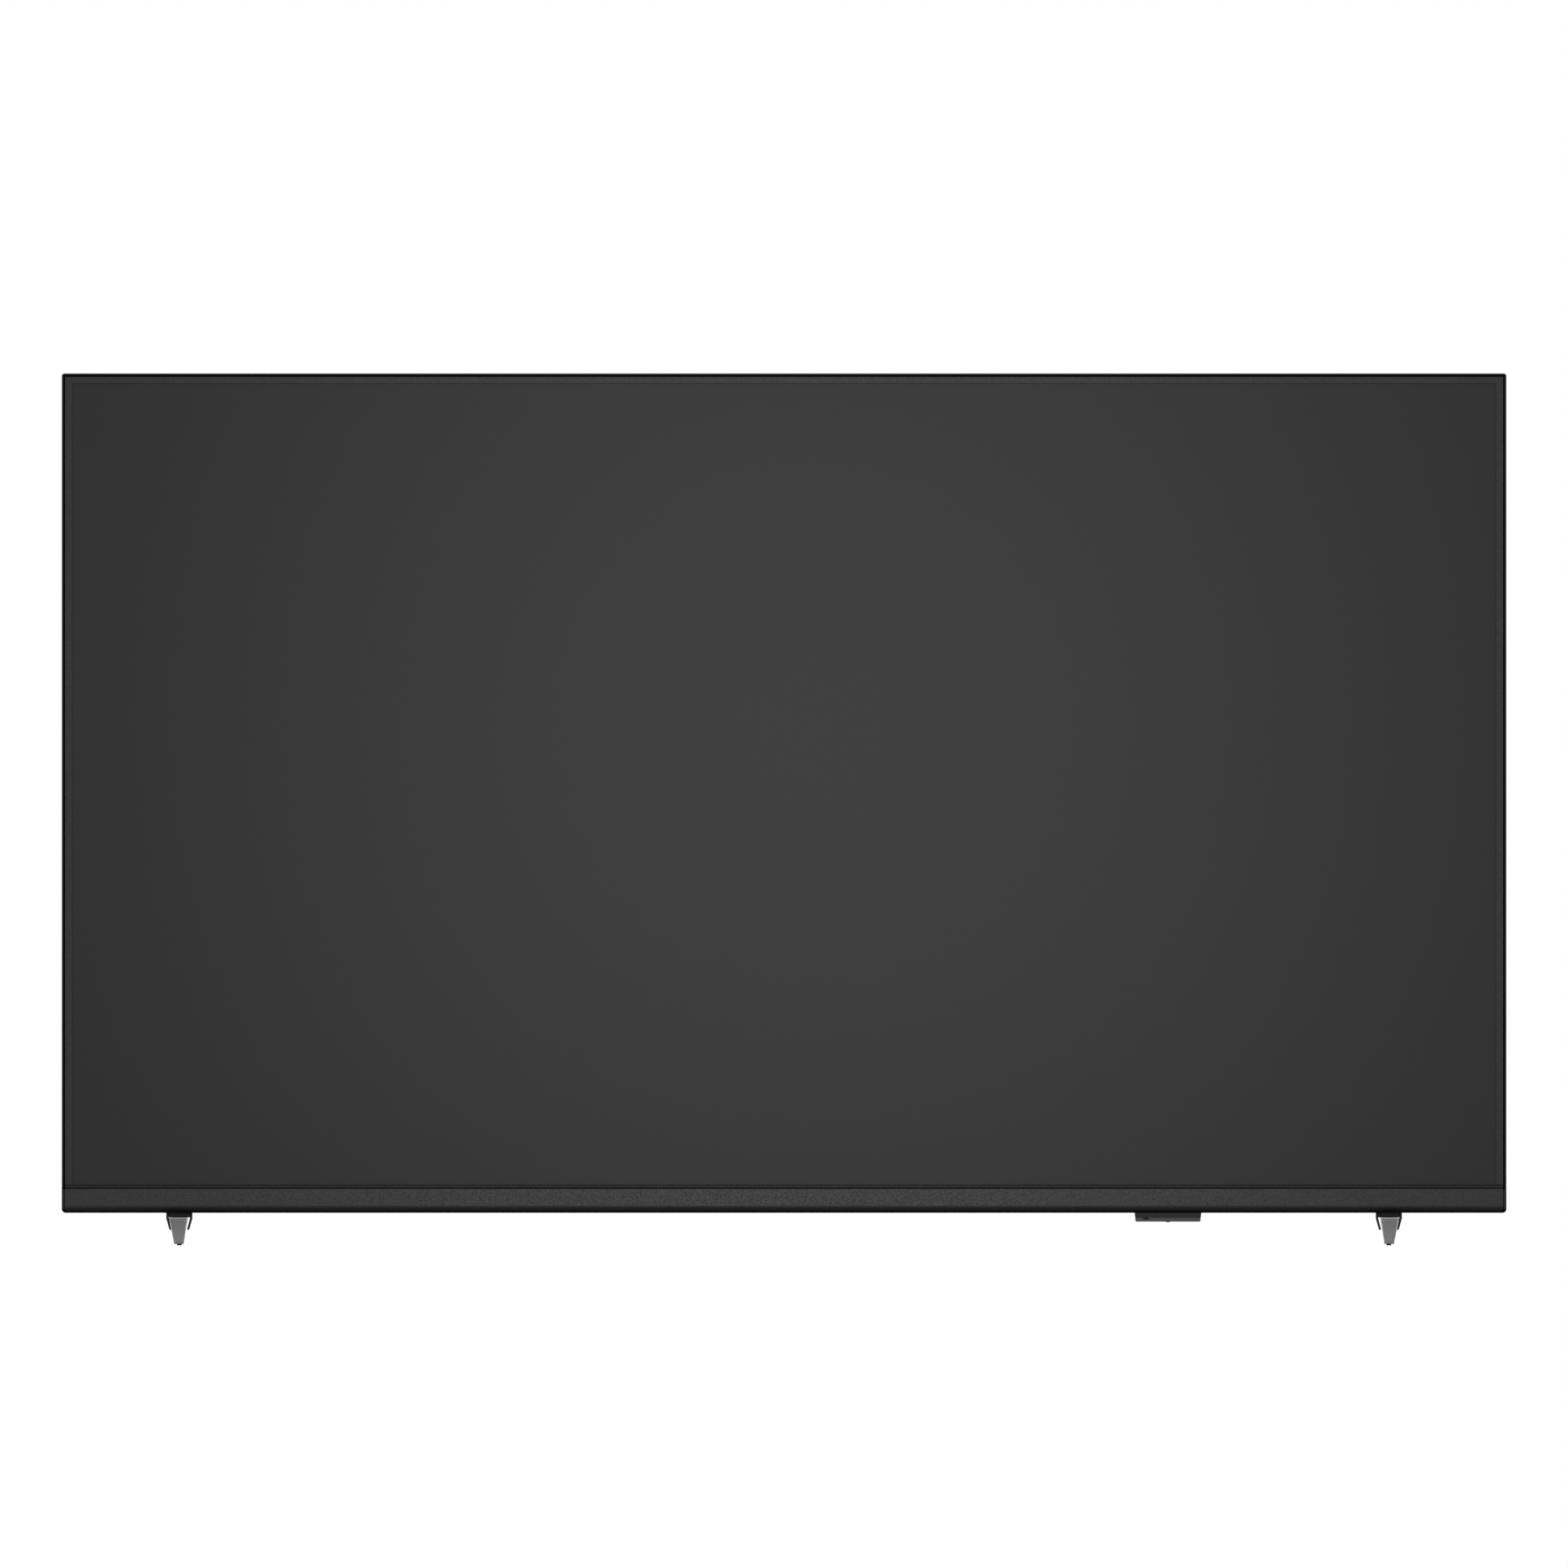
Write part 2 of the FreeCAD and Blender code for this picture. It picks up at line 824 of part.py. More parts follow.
def make_led_lenses():
    lenses = []
    for row, height in enumerate(bar_places()):
        for column, place in enumerate(lens_places()):
            lens = DOC.addObject("Part::Sphere", "lens_%d_%d" % (row, column))
            lens.Placement = Placement(Vector(), Rotation(Vector(1, 0, 0), 90))
            bind(lens, "Radius", s.lens_r)
            lens.Angle1 = 0
            move_to(lens, place, y_bar, height)
            lenses.append(lens)
    node("led_lenses", group("lens_set", lenses))


def cover_screw_places():
    """Places of the cover's screws, as (x, z): a row near the top, and a column near each side."""
    top = z_active_top - s.cover_screw_inset
    reach = half_active - s.cover_screw_row_inset
    pitch = 2 * reach / (s.cover_screw_columns - 1)
    places = [(pitch * index - reach, top) for index in range(int(s.cover_screw_columns.value))]
    side = half_active - s.cover_screw_inset
    for sign in (-1, 1):
        for quarters in (1, 3):
            places.append((sign * side, z_active + quarters * s.active_tall / 4))
    return places


def make_back_pan():
    body = body_named("pan")
    wall = s.pan_thick
    flange_back = y_brim_back + wall
    well = s.pan_margin - s.pan_thick
    inner = -s.pan_thick / 2
    pad(body, "front", (y_ledge_back, y_pan_back), [around_active(s.pan_margin)])
    pocket(body, "front", (y_ledge_back, y_brim_back), [around_active(well)])
    pocket(body, "front", (y_brim_back, y_floor), [around_active(inner)])
    outside = around_active(s.pan_margin + wall)
    pocket(body, "front", (flange_back, y_pan_back), [outside, around_active(inner + wall)])
    hole = s.cover_screw_r + s.screw_clear
    pocket(body, "front", (y_floor, y_pan_back), [], [(x, z, hole) for x, z in cover_screw_places()])
    node("back_pan", body)


# Outer trim, border strips and chin

def make_trim_top():
    body = body_named("top_trim")
    low = z_top - s.trim_leg
    outline = [
        (-half_out, low), (-half_out, z_top), (half_out, z_top), (half_out, low),
        (half_reveal, low), (half_reveal, z_reveal_top), (-half_reveal, z_reveal_top), (-half_reveal, low),
    ]
    pad(body, "front", (y_lip, y_trim_back), [outline])
    web = rectangle((-half_reveal, half_reveal), (z_border_top - s.strip_leg, z_reveal_top))
    pad(body, "front", from_low(y_web, s.web_thick), [web])
    for sign in (-1, 1):
        rounded(body, s.trim_corner, lambda box: is_line_at(box, {"x": sign * half_out, "z": z_top}))
    node("trim_top", body)


def make_trim_side(name, side):
    body = body_named("trim_" + name + "_body")
    high = z_top - s.trim_leg
    low = s.ground_gap
    foot_end = half_out - s.trim_foot
    outline = [
        (side * half_out, low), (side * half_out, high), (side * half_reveal, high),
        (side * half_reveal, low + s.lip_wide), (side * foot_end, low + s.lip_wide),
        (side * foot_end, low),
    ]
    pad(body, "front", (y_lip, y_trim_back), [outline])
    inner = half_border - s.strip_leg
    web_high = z_border_top - s.strip_leg
    web = rectangle((side * inner, side * half_reveal), (z_strip, web_high))
    pad(body, "front", from_low(y_web, s.web_thick), [web])
    corner = {"x": side * half_out, "z": low}
    rounded(body, s.trim_low_corner, lambda box: is_line_at(box, corner))
    inside = {"x": side * half_reveal, "z": low + s.lip_wide}
    rounded(body, s.trim_low_corner - s.lip_wide, lambda box: is_line_at(box, inside))
    node("trim_" + name, body)


def make_bezel_top():
    body = body_named("top_strip")
    leaf = [(y_strip, z_active_top), (y_cell, z_active_top), (y_cell, z_border_top - s.strip_leg),
            (y_web, z_border_top - s.strip_leg), (y_web, z_border_top), (y_strip, z_border_top)]
    pad(body, "side", (-half_border, half_border), [leaf])
    node("bezel_top", body)


def make_bezel_side(name, side):
    body = body_named("strip_" + name)
    inner = half_border - s.strip_leg
    leaf = [(side * half_active, y_strip), (side * half_border, y_strip), (side * half_border, y_web),
            (side * inner, y_web), (side * inner, y_cell), (side * half_active, y_cell)]
    pad(body, "top", (z_strip, z_active_top), [leaf])
    node("bezel_" + name, body)


def make_bezel_bottom():
    body = body_named("bottom_strip")
    y_tongue = y_cell - s.tongue_thick
    leaf = [(y_strip, z_active), (y_strip, z_strip), (y_tongue, z_strip),
            (y_tongue, z_strip - s.tongue_tall), (y_cell, z_strip - s.tongue_tall), (y_cell, z_active)]
    pad(body, "side", (-half_active, half_active), [leaf])
    node("bezel_bottom", body)


def make_chin_bar():
    body = body_named("chin")
    half = half_reveal - s.chin_end_gap
    low = s.ground_gap
    inside_y = y_lip + s.chin_wall
    inside_z = low + s.chin_wall
    section = [(y_lip, z_chin_top), (y_lip, low), (y_trim_back, low),
               (y_trim_back, inside_z), (inside_y, inside_z), (inside_y, z_chin_top)]
    pad(body, "side", (-half, half), [section])
    rounded(body, s.chin_roll, lambda box: is_line_at(box, {"y": y_lip, "z": low}))
    inner_roll = s.chin_roll - s.chin_wall
    rounded(body, inner_roll, lambda box: is_line_at(box, {"y": inside_y, "z": inside_z}))
    notch_start = half_out - s.trim_foot - s.chin_end_gap
    notch_high = low + s.trim_low_corner
    for sign in (-1, 1):
        notch = rectangle((sign * notch_start, sign * half_out), (low - s.chin_wall, notch_high))
        pocket(body, "front", (y_lip - s.chin_wall, y_trim_back + s.chin_wall), [notch])
    lead_hole = (sensor_lead_x, -s.sensor_lead_set_back, s.thin_wire_r + s.screw_clear)
    pocket(body, "top", (low - s.chin_wall, low + 2 * s.chin_wall), [], [lead_hole])
    node("chin_bar", body)


# Rear cover

def cover_slab(name, inset, deep):
    """The shallow part of the cover, sloping in by the cover's draft at its back."""
    half = half_out - inset
    low = s.ground_gap + inset
    high = z_top - inset
    slope = s.cover_draft
    front = (-half, half, low, high)
    back = (-(half - slope), half - slope, low, high - slope)
    return drafted(name, front, back, deep)


def cover_bulge(name, inset, deep):
    """The deep part of the cover, over the boards and speakers."""
    half = bulge_half - inset
    low = bulge_low + inset
    high = bulge_high - inset
    front = (-half, half, low, high)
    back_half = half - s.bulge_draft
    back = (-back_half, back_half, low + s.bulge_draft_low, high - s.bulge_draft_top)
    return drafted(name, front, back, deep)


def cover_boss(name, side, inset, deep):
    """The raised place of the cover behind a foot's bracket."""
    half = s.boss_half - inset
    slim = half - s.boss_draft
    middle = side * foot_x
    low = z_cover_low + inset
    high = s.boss_top - inset
    front = (middle - half, middle + half, low, high)
    back = (middle - slim, middle + slim, low, high - s.boss_draft)
    return drafted(name, front, back, deep)


def bay_ranges():
    """Each bay as (name, across, deep, high), open behind and below or at its side."""
    deep = (y_rim_back, y_back + s.cover_wall)
    low = bulge_low - s.cover_wall
    upright = (low, s.bay_top)
    side_end = bulge_half - s.side_bay_deep
    side_high = from_low(s.side_bay_low, s.side_bay_tall)
    return [
        ("signal_bay", (-bay_outer, -bay_inner), deep, upright),
        ("power_bay", (bay_inner, bay_outer), deep, upright),
        ("side_bay", (-(bulge_half + s.cover_wall), -side_end), deep, side_high),
    ]


def bay_wall_block(name, across, deep, high):
    """A bay's space grown by the wall on its closed sides."""
    wall = s.cover_wall
    start = deep[0] - wall
    if name == "side_bay":
        return block(name + "_wall", (across[0], across[1] + wall), (start, deep[1]),
                     (high[0] - wall, high[1] + wall))
    return block(name + "_wall", (across[0] - wall, across[1] + wall), (start, deep[1]),
                 (high[0], high[1] + wall))


def vent_row(name, first_x, count, low_z):
    """A row of upright slots through the back wall of the bulge."""
    slots = []
    for index in range(count):
        across = span(first_x + s.vent_pitch * index, s.vent_wide)
        slots.append(block("%s_%d" % (name, index), across,
                           (y_back_inside - s.cover_wall, y_back + s.cover_wall),
                           from_low(low_z, s.vent_tall)))
    return slots


def grille_slots(side):
    """Slots under a speaker, through the lower wall of the bulge."""
    slots = []
    middle = side * (speaker_inner + speaker_outer) / 2
    first = middle - s.vent_pitch * (s.grille_count - 1) / 2
    deep = span(speaker_middle_y(), s.grille_long)
    high = (bulge_low - s.cover_wall, s.speaker_low_z - s.driver_flange - s.seat_gap)
    for index in range(int(s.grille_count.value)):
        across = span(first + s.vent_pitch * index, s.vent_wide)
        slots.append(block("grille_%d_%d" % (side + 1, index), across, deep, high))
    return slots


def make_rear_cover():
    front = y_trim_back + s.split_gap
    outside = [
        cover_slab("cover_slab", s.cover_inset, (front, y_rim_back)),
        cover_bulge("cover_bulge", as_size(0), (y_rim_inside, y_back)),
    ]
    hollow = [
        cover_slab("cover_slab_hollow", s.cover_inset + s.cover_wall, (front - s.cover_wall, y_rim_inside)),
        cover_bulge("cover_bulge_hollow", s.cover_wall, (y_rim_inside - s.cover_wall, y_back_inside)),
    ]
    for name, side in SIDES:
        outside.append(cover_boss("cover_boss_" + name, side, as_size(0), (y_rim_inside, s.boss_back)))
        inside_deep = (y_rim_inside - s.cover_wall, s.boss_back - s.cover_wall)
        hollow.append(cover_boss("cover_boss_hollow_" + name, side, s.cover_wall, inside_deep))
    outer = join("cover_outside", outside)
    shell = cut("cover_shell", outer, [join("cover_hollow", hollow)])
    walls = [bay_wall_block(*bay) for bay in bay_ranges()]
    bounds = cover_bulge("cover_bulge_bounds", as_size(0), (y_rim_inside, y_back))
    kept_walls = overlap_of("bay_walls", bounds, group("bay_wall_set", walls))
    walled = join("cover_walled", [shell, kept_walls])
    spaces = [block(name + "_space", across, deep, high) for name, across, deep, high in bay_ranges()]
    opened = cut("cover_opened", walled, spaces)
    pierced = cut("cover_pierced", opened, cover_holes())
    node("rear_cover", pierced)


def cover_holes():
    """Everything that passes through the cover's walls."""
    holes = []
    upper_first = -s.vent_pitch * (s.vent_count_upper - 1) / 2
    holes += vent_row("vent_upper", upper_first, int(s.vent_count_upper.value), bulge_high - s.vent_upper_drop)
    for name, side in SIDES:
        middle = side * (board_inner + board_outer) / 2
        first = middle - s.vent_pitch * (s.vent_count_side - 1) / 2
        holes += vent_row("vent_" + name, first, int(s.vent_count_side.value), z_mount - s.vent_side_drop)
        holes += grille_slots(side)
        slot_half = s.neck_wide / 2 + s.foot_fit
        slot_deep = s.neck_deep / 2 + s.foot_fit
        across = (side * foot_x - slot_half, side * foot_x + slot_half)
        holes.append(block("foot_slot_" + name, across, (-slot_deep, slot_deep),
                           (s.ground_gap, z_cover_low + 2 * s.cover_wall)))
        for index, height in enumerate(foot_screw_heights()):
            holes.append(rod("foot_screw_hole_%s_%d" % (name, index), "y", (side * foot_x, height),
                             s.foot_screw_r + s.screw_clear,
                             (s.boss_back - 2 * s.cover_wall, s.boss_back + s.cover_wall)))
    for index, (x, z) in enumerate(mount_places()):
        holes.append(rod("mount_hole_%d" % index, "y", (x, z), s.bush_r + s.bush_clear,
                         (y_back_inside - s.cover_wall, y_back + s.cover_wall)))
    for index, (x, z) in enumerate(cover_screw_places()):
        holes.append(rod("cover_hole_%d" % index, "y", (x, z), s.cover_screw_r + s.screw_clear,
                         (y_rim_inside - s.cover_wall, y_rim_back + s.cover_wall)))
    for index, (across, deep, high) in enumerate(socket_windows()):
        holes.append(block("socket_window_%d" % index, across, deep, high))
    return holes


def cross_headed_screw(name, middle, head_y, head, shank_r, tip_y):
    """A pan head screw along Y with a cross recess: head is (radius, thickness)."""
    head_r, head_thick = head
    top = head_y + head_thick
    solid = join(name + "_solid", [
        rod(name + "_head", "y", middle, head_r, (head_y, top)),
        rod(name + "_shank", "y", middle, shank_r, (tip_y, head_y)),
    ])
    deep = (top - s.cross_deep, top + s.cross_deep)
    x, z = middle
    recess = join(name + "_cross", [
        block(name + "_bar", span(x, s.cross_long), deep, span(z, s.cross_wide)),
        block(name + "_post", span(x, s.cross_wide), deep, span(z, s.cross_long)),
    ])
    return cut(name + "_cut", solid, [recess])


def make_cover_screws():
    head = (s.cover_screw_head_r, s.cover_screw_head)
    tip = y_floor - s.cover_screw_grip
    screws = []
    for index, middle in enumerate(cover_screw_places()):
        screws.append(cross_headed_screw("cover_screw_%d" % index, middle, y_rim_back, head,
                                         s.cover_screw_r, tip))
    node("cover_screws", group("cover_screw_set", screws))


# Wall mount

def mount_places():
    return [(x * mount_reach, z_mount + z * mount_reach) for x in (-1, 1) for z in (-1, 1)]


def make_mount_rails():
    rails = []
    deep = (y_pan_back, y_back_inside - s.seat_gap)
    high = (z_mount - mount_reach - s.rail_end, z_mount + mount_reach + s.rail_end)
    for name, side in SIDES:
        across = span(side * mount_reach, s.rail_wide)
        channel = block("rail_block_" + name, across, deep, high)
        inside = (across[0] + s.rail_wall, across[1] - s.rail_wall)
        hollow_high = (high[0] - s.rail_wall, high[1] + s.rail_wall)
        hollow = block("rail_hollow_" + name, inside, (deep[0] - s.rail_wall, deep[1] - s.rail_wall),
                       hollow_high)
        open_channel = cut("rail_channel_" + name, channel, [hollow])
        holes = []
        for index, (x, z) in enumerate(mount_places()):
            if x.value * side > 0:
                holes.append(rod("rail_hole_%s_%d" % (name, index), "y", (x, z), s.bush_r,
                                 (deep[1] - 2 * s.rail_wall, deep[1] + s.rail_wall)))
        rails.append(cut("rail_" + name, open_channel, holes))
    node("mount_rails", group("rail_set", rails))


def make_mount_bushes():
    bushes = []
    ends = (y_back - s.bush_long, y_back)
    for index, middle in enumerate(mount_places()):
        outside = rod("bush_round_%d" % index, "y", middle, s.bush_r, ends)
        past = (ends[0] - s.seat_gap, ends[1] + s.seat_gap)
        bore = rod("bush_bore_%d" % index, "y", middle, s.mount_bore_r, past)
        bushes.append(cut("bush_%d" % index, outside, [bore]))
    node("mount_bushes", group("bush_set", bushes))


# Boards

def board_corners(across, high):
    inset = s.board_hole_inset
    return [(x, z) for x in (across[0] + inset, across[1] - inset)
            for z in (high[0] + inset, high[1] - inset)]


main_across = (-board_outer, -board_inner)
main_high = from_low(s.board_low_z, s.main_board_tall)
power_across = (board_inner, board_outer)
power_high = from_low(s.board_low_z, s.power_board_tall)
timing_across = (-s.timing_board_half, s.timing_board_half)
timing_high = from_low(s.timing_board_low, s.timing_board_tall)
BOARDS = ((main_across, main_high), (power_across, power_high), (timing_across, timing_high))


def make_board(name, across, high):
    body = body_named(name + "_sheet")
    hole = s.board_screw_r + s.screw_clear
    holes = [(x, z, hole) for x, z in board_corners(across, high)]
    pad(body, "front", (y_board, y_board_back), [rectangle(across, high)], holes)
    node(name, body)


def make_board_fixings():
    """Standoffs pressed on the pan, and the screws that hold the boards on them."""
    standoffs = []
    screws = []
    for board, (across, high) in enumerate(BOARDS):
        for corner, middle in enumerate(board_corners(across, high)):
            name = "%d_%d" % (board, corner)
            post = rod("standoff_post_" + name, "y", middle, s.standoff_r, (y_pan_back, y_board))
            bore = rod("standoff_bore_" + name, "y", middle, s.board_screw_r + s.pin_clear,
                       (y_board - s.standoff_tall / 2, y_board + s.seat_gap))
            standoffs.append(cut("standoff_" + name, post, [bore]))
            head = rod("board_head_" + name, "y", middle, s.board_screw_head_r,
                       from_low(y_board_back, s.board_screw_head))
            shank = rod("board_shank_" + name, "y", middle, s.board_screw_r,
                        (y_board - s.standoff_tall / 2 + s.seat_gap, y_board_back))
            screws.append(join("board_screw_" + name, [head, shank]))
    node("board_standoffs", group("standoff_set", standoffs))
    node("board_screws", group("board_screw_set", screws))


def make_main_board_chips():
    chips = [block("processor", span(processor_x, s.chip_side), from_low(y_board_back, s.chip_tall),
                   span(s.processor_z, s.chip_side))]
    memory_x = processor_x + s.heatsink_side / 2 + s.memory_wide
    for index in (-1, 1):
        height = s.processor_z + index * s.memory_tall
        chips.append(block("memory_%d" % (index + 1), span(memory_x, s.memory_wide),
                           from_low(y_board_back, s.memory_thick), span(height, s.memory_tall)))
    tuner_x = processor_x + 2 * s.heatsink_side
    chips.append(block("tuner_can", span(tuner_x, s.tuner_wide), from_low(y_board_back, s.tuner_thick),
                       span(s.processor_z, s.tuner_tall)))
    node("main_board_chips", group("chip_set", chips))


def make_processor_heatsink():
    across = span(processor_x, s.heatsink_side)
    high = span(s.processor_z, s.heatsink_side)
    front = y_board_back + s.chip_tall
    body = body_named("heatsink")
    pad(body, "front", from_low(front, s.heatsink_base), [rectangle(across, high)])
    gap = (s.heatsink_side - s.fin_thick) / (s.fin_count - 1)
    fins = []
    for index in range(int(s.fin_count.value)):
        fin = from_low(across[0] + gap * index, s.fin_thick)
        fins.append(rectangle(fin, high))
    pad(body, "front", (front + s.heatsink_base, front + s.heatsink_tall), fins)
    node("processor_heatsink", body)


def socket_set():
    """Each socket as (kind, axis, middle along the board's edge)."""
    kinds = ("aerial", "jack", "lan", "hdmi", "hdmi")
    pitch = (bay_outer - bay_inner) / (len(kinds) + 1)
    bottom = [(kind, "down", -bay_inner - pitch * index) for index, kind in enumerate(kinds, 1)]
    side_first = s.side_bay_low + s.side_socket_pitch
    side = [(kind, "out", side_first + s.side_socket_pitch * index)
            for index, kind in enumerate(("usb", "usb", "hdmi"))]
    return bottom + side


def socket_face(kind):
    """Width along the board's edge, height off the board and depth of a kind of socket."""
    faces = {
        "hdmi": (s.hdmi_wide, s.hdmi_tall, s.hdmi_deep),
        "usb": (s.usb_wide, s.usb_tall, s.usb_deep),
        "lan": (s.lan_wide, s.lan_tall, s.lan_deep),
        "jack": (s.jack_side, s.jack_side, s.jack_deep),
        "aerial": (2 * s.aerial_r, 2 * s.aerial_r, s.jack_deep),
    }
    return faces[kind]


def socket_box(name, way, along_edge, deep, reach):
    """A box of a socket: reach is how far it goes into the cover from the bay's wall."""
    if way == "down":
        return block(name, along_edge, deep, (s.bay_top + reach[0], s.bay_top + reach[1]))
    wall_x = -(bulge_half - s.side_bay_deep)
    return block(name, (wall_x + reach[0], wall_x + reach[1]), deep, along_edge)


def socket_windows():
    """The openings that the sockets need in the bay walls, as (across, deep, high)."""
    windows = []
    reach = (-s.cover_wall / 2, 3 * s.cover_wall / 2)
    for kind, way, middle in socket_set():
        wide, tall, _ = socket_face(kind)
        along_edge = span(middle, wide + 2 * s.socket_clear)
        deep = (y_board_back - s.socket_clear, y_board_back + tall + s.socket_clear)
        if way == "down":
            windows.append((along_edge, deep, (s.bay_top + reach[0], s.bay_top + reach[1])))
        else:
            wall_x = -(bulge_half - s.side_bay_deep)
            windows.append(((wall_x + reach[0], wall_x + reach[1]), deep, along_edge))
    inlet_deep = span(s.inlet_y, s.inlet_deep + 2 * s.socket_clear)
    rocker_deep = span(s.inlet_y, s.rocker_case_deep + 2 * s.socket_clear)
    roof = (s.bay_top + reach[0], s.bay_top + reach[1])
    windows.append((span(inlet_x, s.inlet_wide + 2 * s.socket_clear), inlet_deep, roof))
    windows.append((span(rocker_x, s.rocker_case_wide + 2 * s.socket_clear), rocker_deep, roof))
    return windows


def make_plug_sockets(name, kind):
    """Flat sockets with a contact tongue in a metal shell: video and data."""
    wide, tall, deep_in = socket_face(kind)
    wall = s.socket_wall
    shells = []
    for index, (each, way, middle) in enumerate(socket_set()):
        if each != kind:
            continue
        label = "%s_%d" % (kind, index)
        reach = (s.socket_set_in, s.socket_set_in + deep_in)
        case = socket_box(label + "_case", way, span(middle, wide), from_low(y_board_back, tall), reach)
        bore_deep = (y_board_back + wall, y_board_back + tall - wall)
        bore = socket_box(label + "_bore", way, span(middle, wide - 2 * wall), bore_deep,
                          (as_size(0), reach[1] - wall))
        hollow = cut(label + "_shell", case, [bore])
        tongue = socket_box(label + "_tongue", way, span(middle, wide - 6 * wall),
                            span(y_board_back + tall / 2, s.socket_tongue),
                            (reach[0] + wall, reach[1] - wall / 2))
        shells.append(join(label + "_whole", [hollow, tongue]))
    node(name, group(name + "_set", shells))


def make_lan_socket():
    for kind, way, middle in socket_set():
        if kind == "lan":
            wide, tall, deep_in = socket_face(kind)
            reach = (s.socket_set_in, s.socket_set_in + deep_in)
            case = socket_box("lan_case", way, span(middle, wide), from_low(y_board_back, tall), reach)
            bore = socket_box("lan_bore", way, span(middle, s.lan_bore_wide),
                              span(y_board_back + tall / 2, s.lan_bore_tall),
                              (as_size(0), reach[0] + s.lan_bore_deep))
            node("lan_socket", cut("lan_shell", case, [bore]))


def make_round_sockets():
    """The aerial socket, a threaded barrel, and the audio jack, a small block with a round bore."""
    for kind, way, middle in socket_set():
        wide, tall, deep_in = socket_face(kind)
        start = s.bay_top + s.socket_set_in
        ends = (start, start + deep_in)
        bore_ends = (s.bay_top, ends[1] - s.socket_wall)
        centre = (middle, y_board_back + tall / 2)
        if kind == "aerial":
            barrel = rod("aerial_barrel", "z", centre, s.aerial_r, ends)
            bore = rod("aerial_bore", "z", centre, s.aerial_bore_r, bore_ends)
            node("aerial_socket", cut("aerial_shell", barrel, [bore]))
        if kind == "jack":
            case = block("jack_case", span(middle, wide), from_low(y_board_back, tall), ends)
            bore = rod("jack_bore", "z", centre, s.jack_bore_r, bore_ends)
            node("audio_jack", cut("jack_shell", case, [bore]))


def make_socket_shields():
    """Thin steel plates inside the bay walls, pierced for the sockets."""
    deep = (y_rim_back, y_back - s.shield_margin)
    roof = s.bay_top + s.cover_wall + s.seat_gap
    bottom = block("shield_bottom_sheet", (-bay_outer, -bay_inner), deep,
                   from_low(roof, s.sheet_wall))
    wall_x = -(bulge_half - s.side_bay_deep) + s.cover_wall + s.seat_gap
    side = block("shield_side_sheet", from_low(wall_x, s.sheet_wall), deep,
                 from_low(s.side_bay_low, s.side_bay_tall))
    bottom_holes = []
    side_holes = []
    for index, (kind, way, middle) in enumerate(socket_set()):
        wide, tall, deep_in = socket_face(kind)
        along_edge = span(middle, wide + 2 * s.socket_clear)
        off_board = (y_board_back - s.socket_clear, y_board_back + tall + s.socket_clear)
        reach = (s.cover_wall, s.cover_wall + 2 * s.sheet_wall)
        hole = socket_box("shield_hole_%d" % index, way, along_edge, off_board, reach)
        if way == "down":
            bottom_holes.append(hole)
        else:
            side_holes.append(hole)
    plates = [cut("shield_bottom", bottom, bottom_holes), cut("shield_side", side, side_holes)]
    node("socket_shields", group("shield_set", plates))


def make_power_board_parts():
    middle_x = (board_inner + board_outer) / 2
    middle_z = s.board_low_z + s.power_board_tall / 2
    transformers = []
    for index in (-1, 1):
        transformers.append(block("transformer_%d" % (index + 1),
                                  span(middle_x + index * s.transformer_wide, s.transformer_wide),
                                  from_low(y_board_back, s.transformer_deep),
                                  span(middle_z, s.transformer_tall)))
    node("power_transformers", group("transformer_set", transformers))
    capacitors = []
    first = middle_x - s.capacitor_pitch * (s.capacitor_count - 1) / 2
    for index in range(int(s.capacitor_count.value)):
        place = first + s.capacitor_pitch * index
        centre = (place, middle_z + s.transformer_tall + s.capacitor_r)
        capacitors.append(rod("capacitor_%d" % index, "y", centre, s.capacitor_r,
                              from_low(y_board_back, s.capacitor_deep)))
    node("power_capacitors", group("capacitor_set", capacitors))
    sinks = []
    for index in (-1, 1):
        place = middle_x + index * (s.sink_long + s.sink_apart) / 2
        sinks.append(block("sink_%d" % (index + 1), span(place, s.sink_long),
                           from_low(y_board_back, s.sink_deep),
                           from_low(middle_z - s.transformer_tall, s.sink_thick)))
    node("power_heatsinks", group("sink_set", sinks))


def make_timing_cover():
    inset = s.timing_cover_inset
    across = (timing_across[0] + inset, timing_across[1] - inset)
    high = (timing_high[0] + inset, timing_high[1] - inset)
    wall = s.sheet_wall
    case = block("timing_can", across, from_low(y_board_back, s.timing_cover_tall), high)
    hollow = block("timing_can_hollow", (across[0] + wall, across[1] - wall),
                   (y_board_back - wall, y_board_back + s.timing_cover_tall - wall),
                   (high[0] + wall, high[1] - wall))
    node("timing_board_cover", cut("timing_can_shell", case, [hollow]))


source_top = z_active - s.pan_margin - s.guide_clear - s.guide_skirt - s.seat_gap


def make_source_boards():
    boards = []
    front = y_ledge_back
    for name, side in SIDES:
        across = mirrored((s.source_board_inner, half_active - s.source_board_margin), side)
        boards.append(block("source_" + name, across, from_low(front, s.source_board_wide),
                            (source_top - s.board_thick, source_top)))
    node("source_boards", group("source_set", boards))


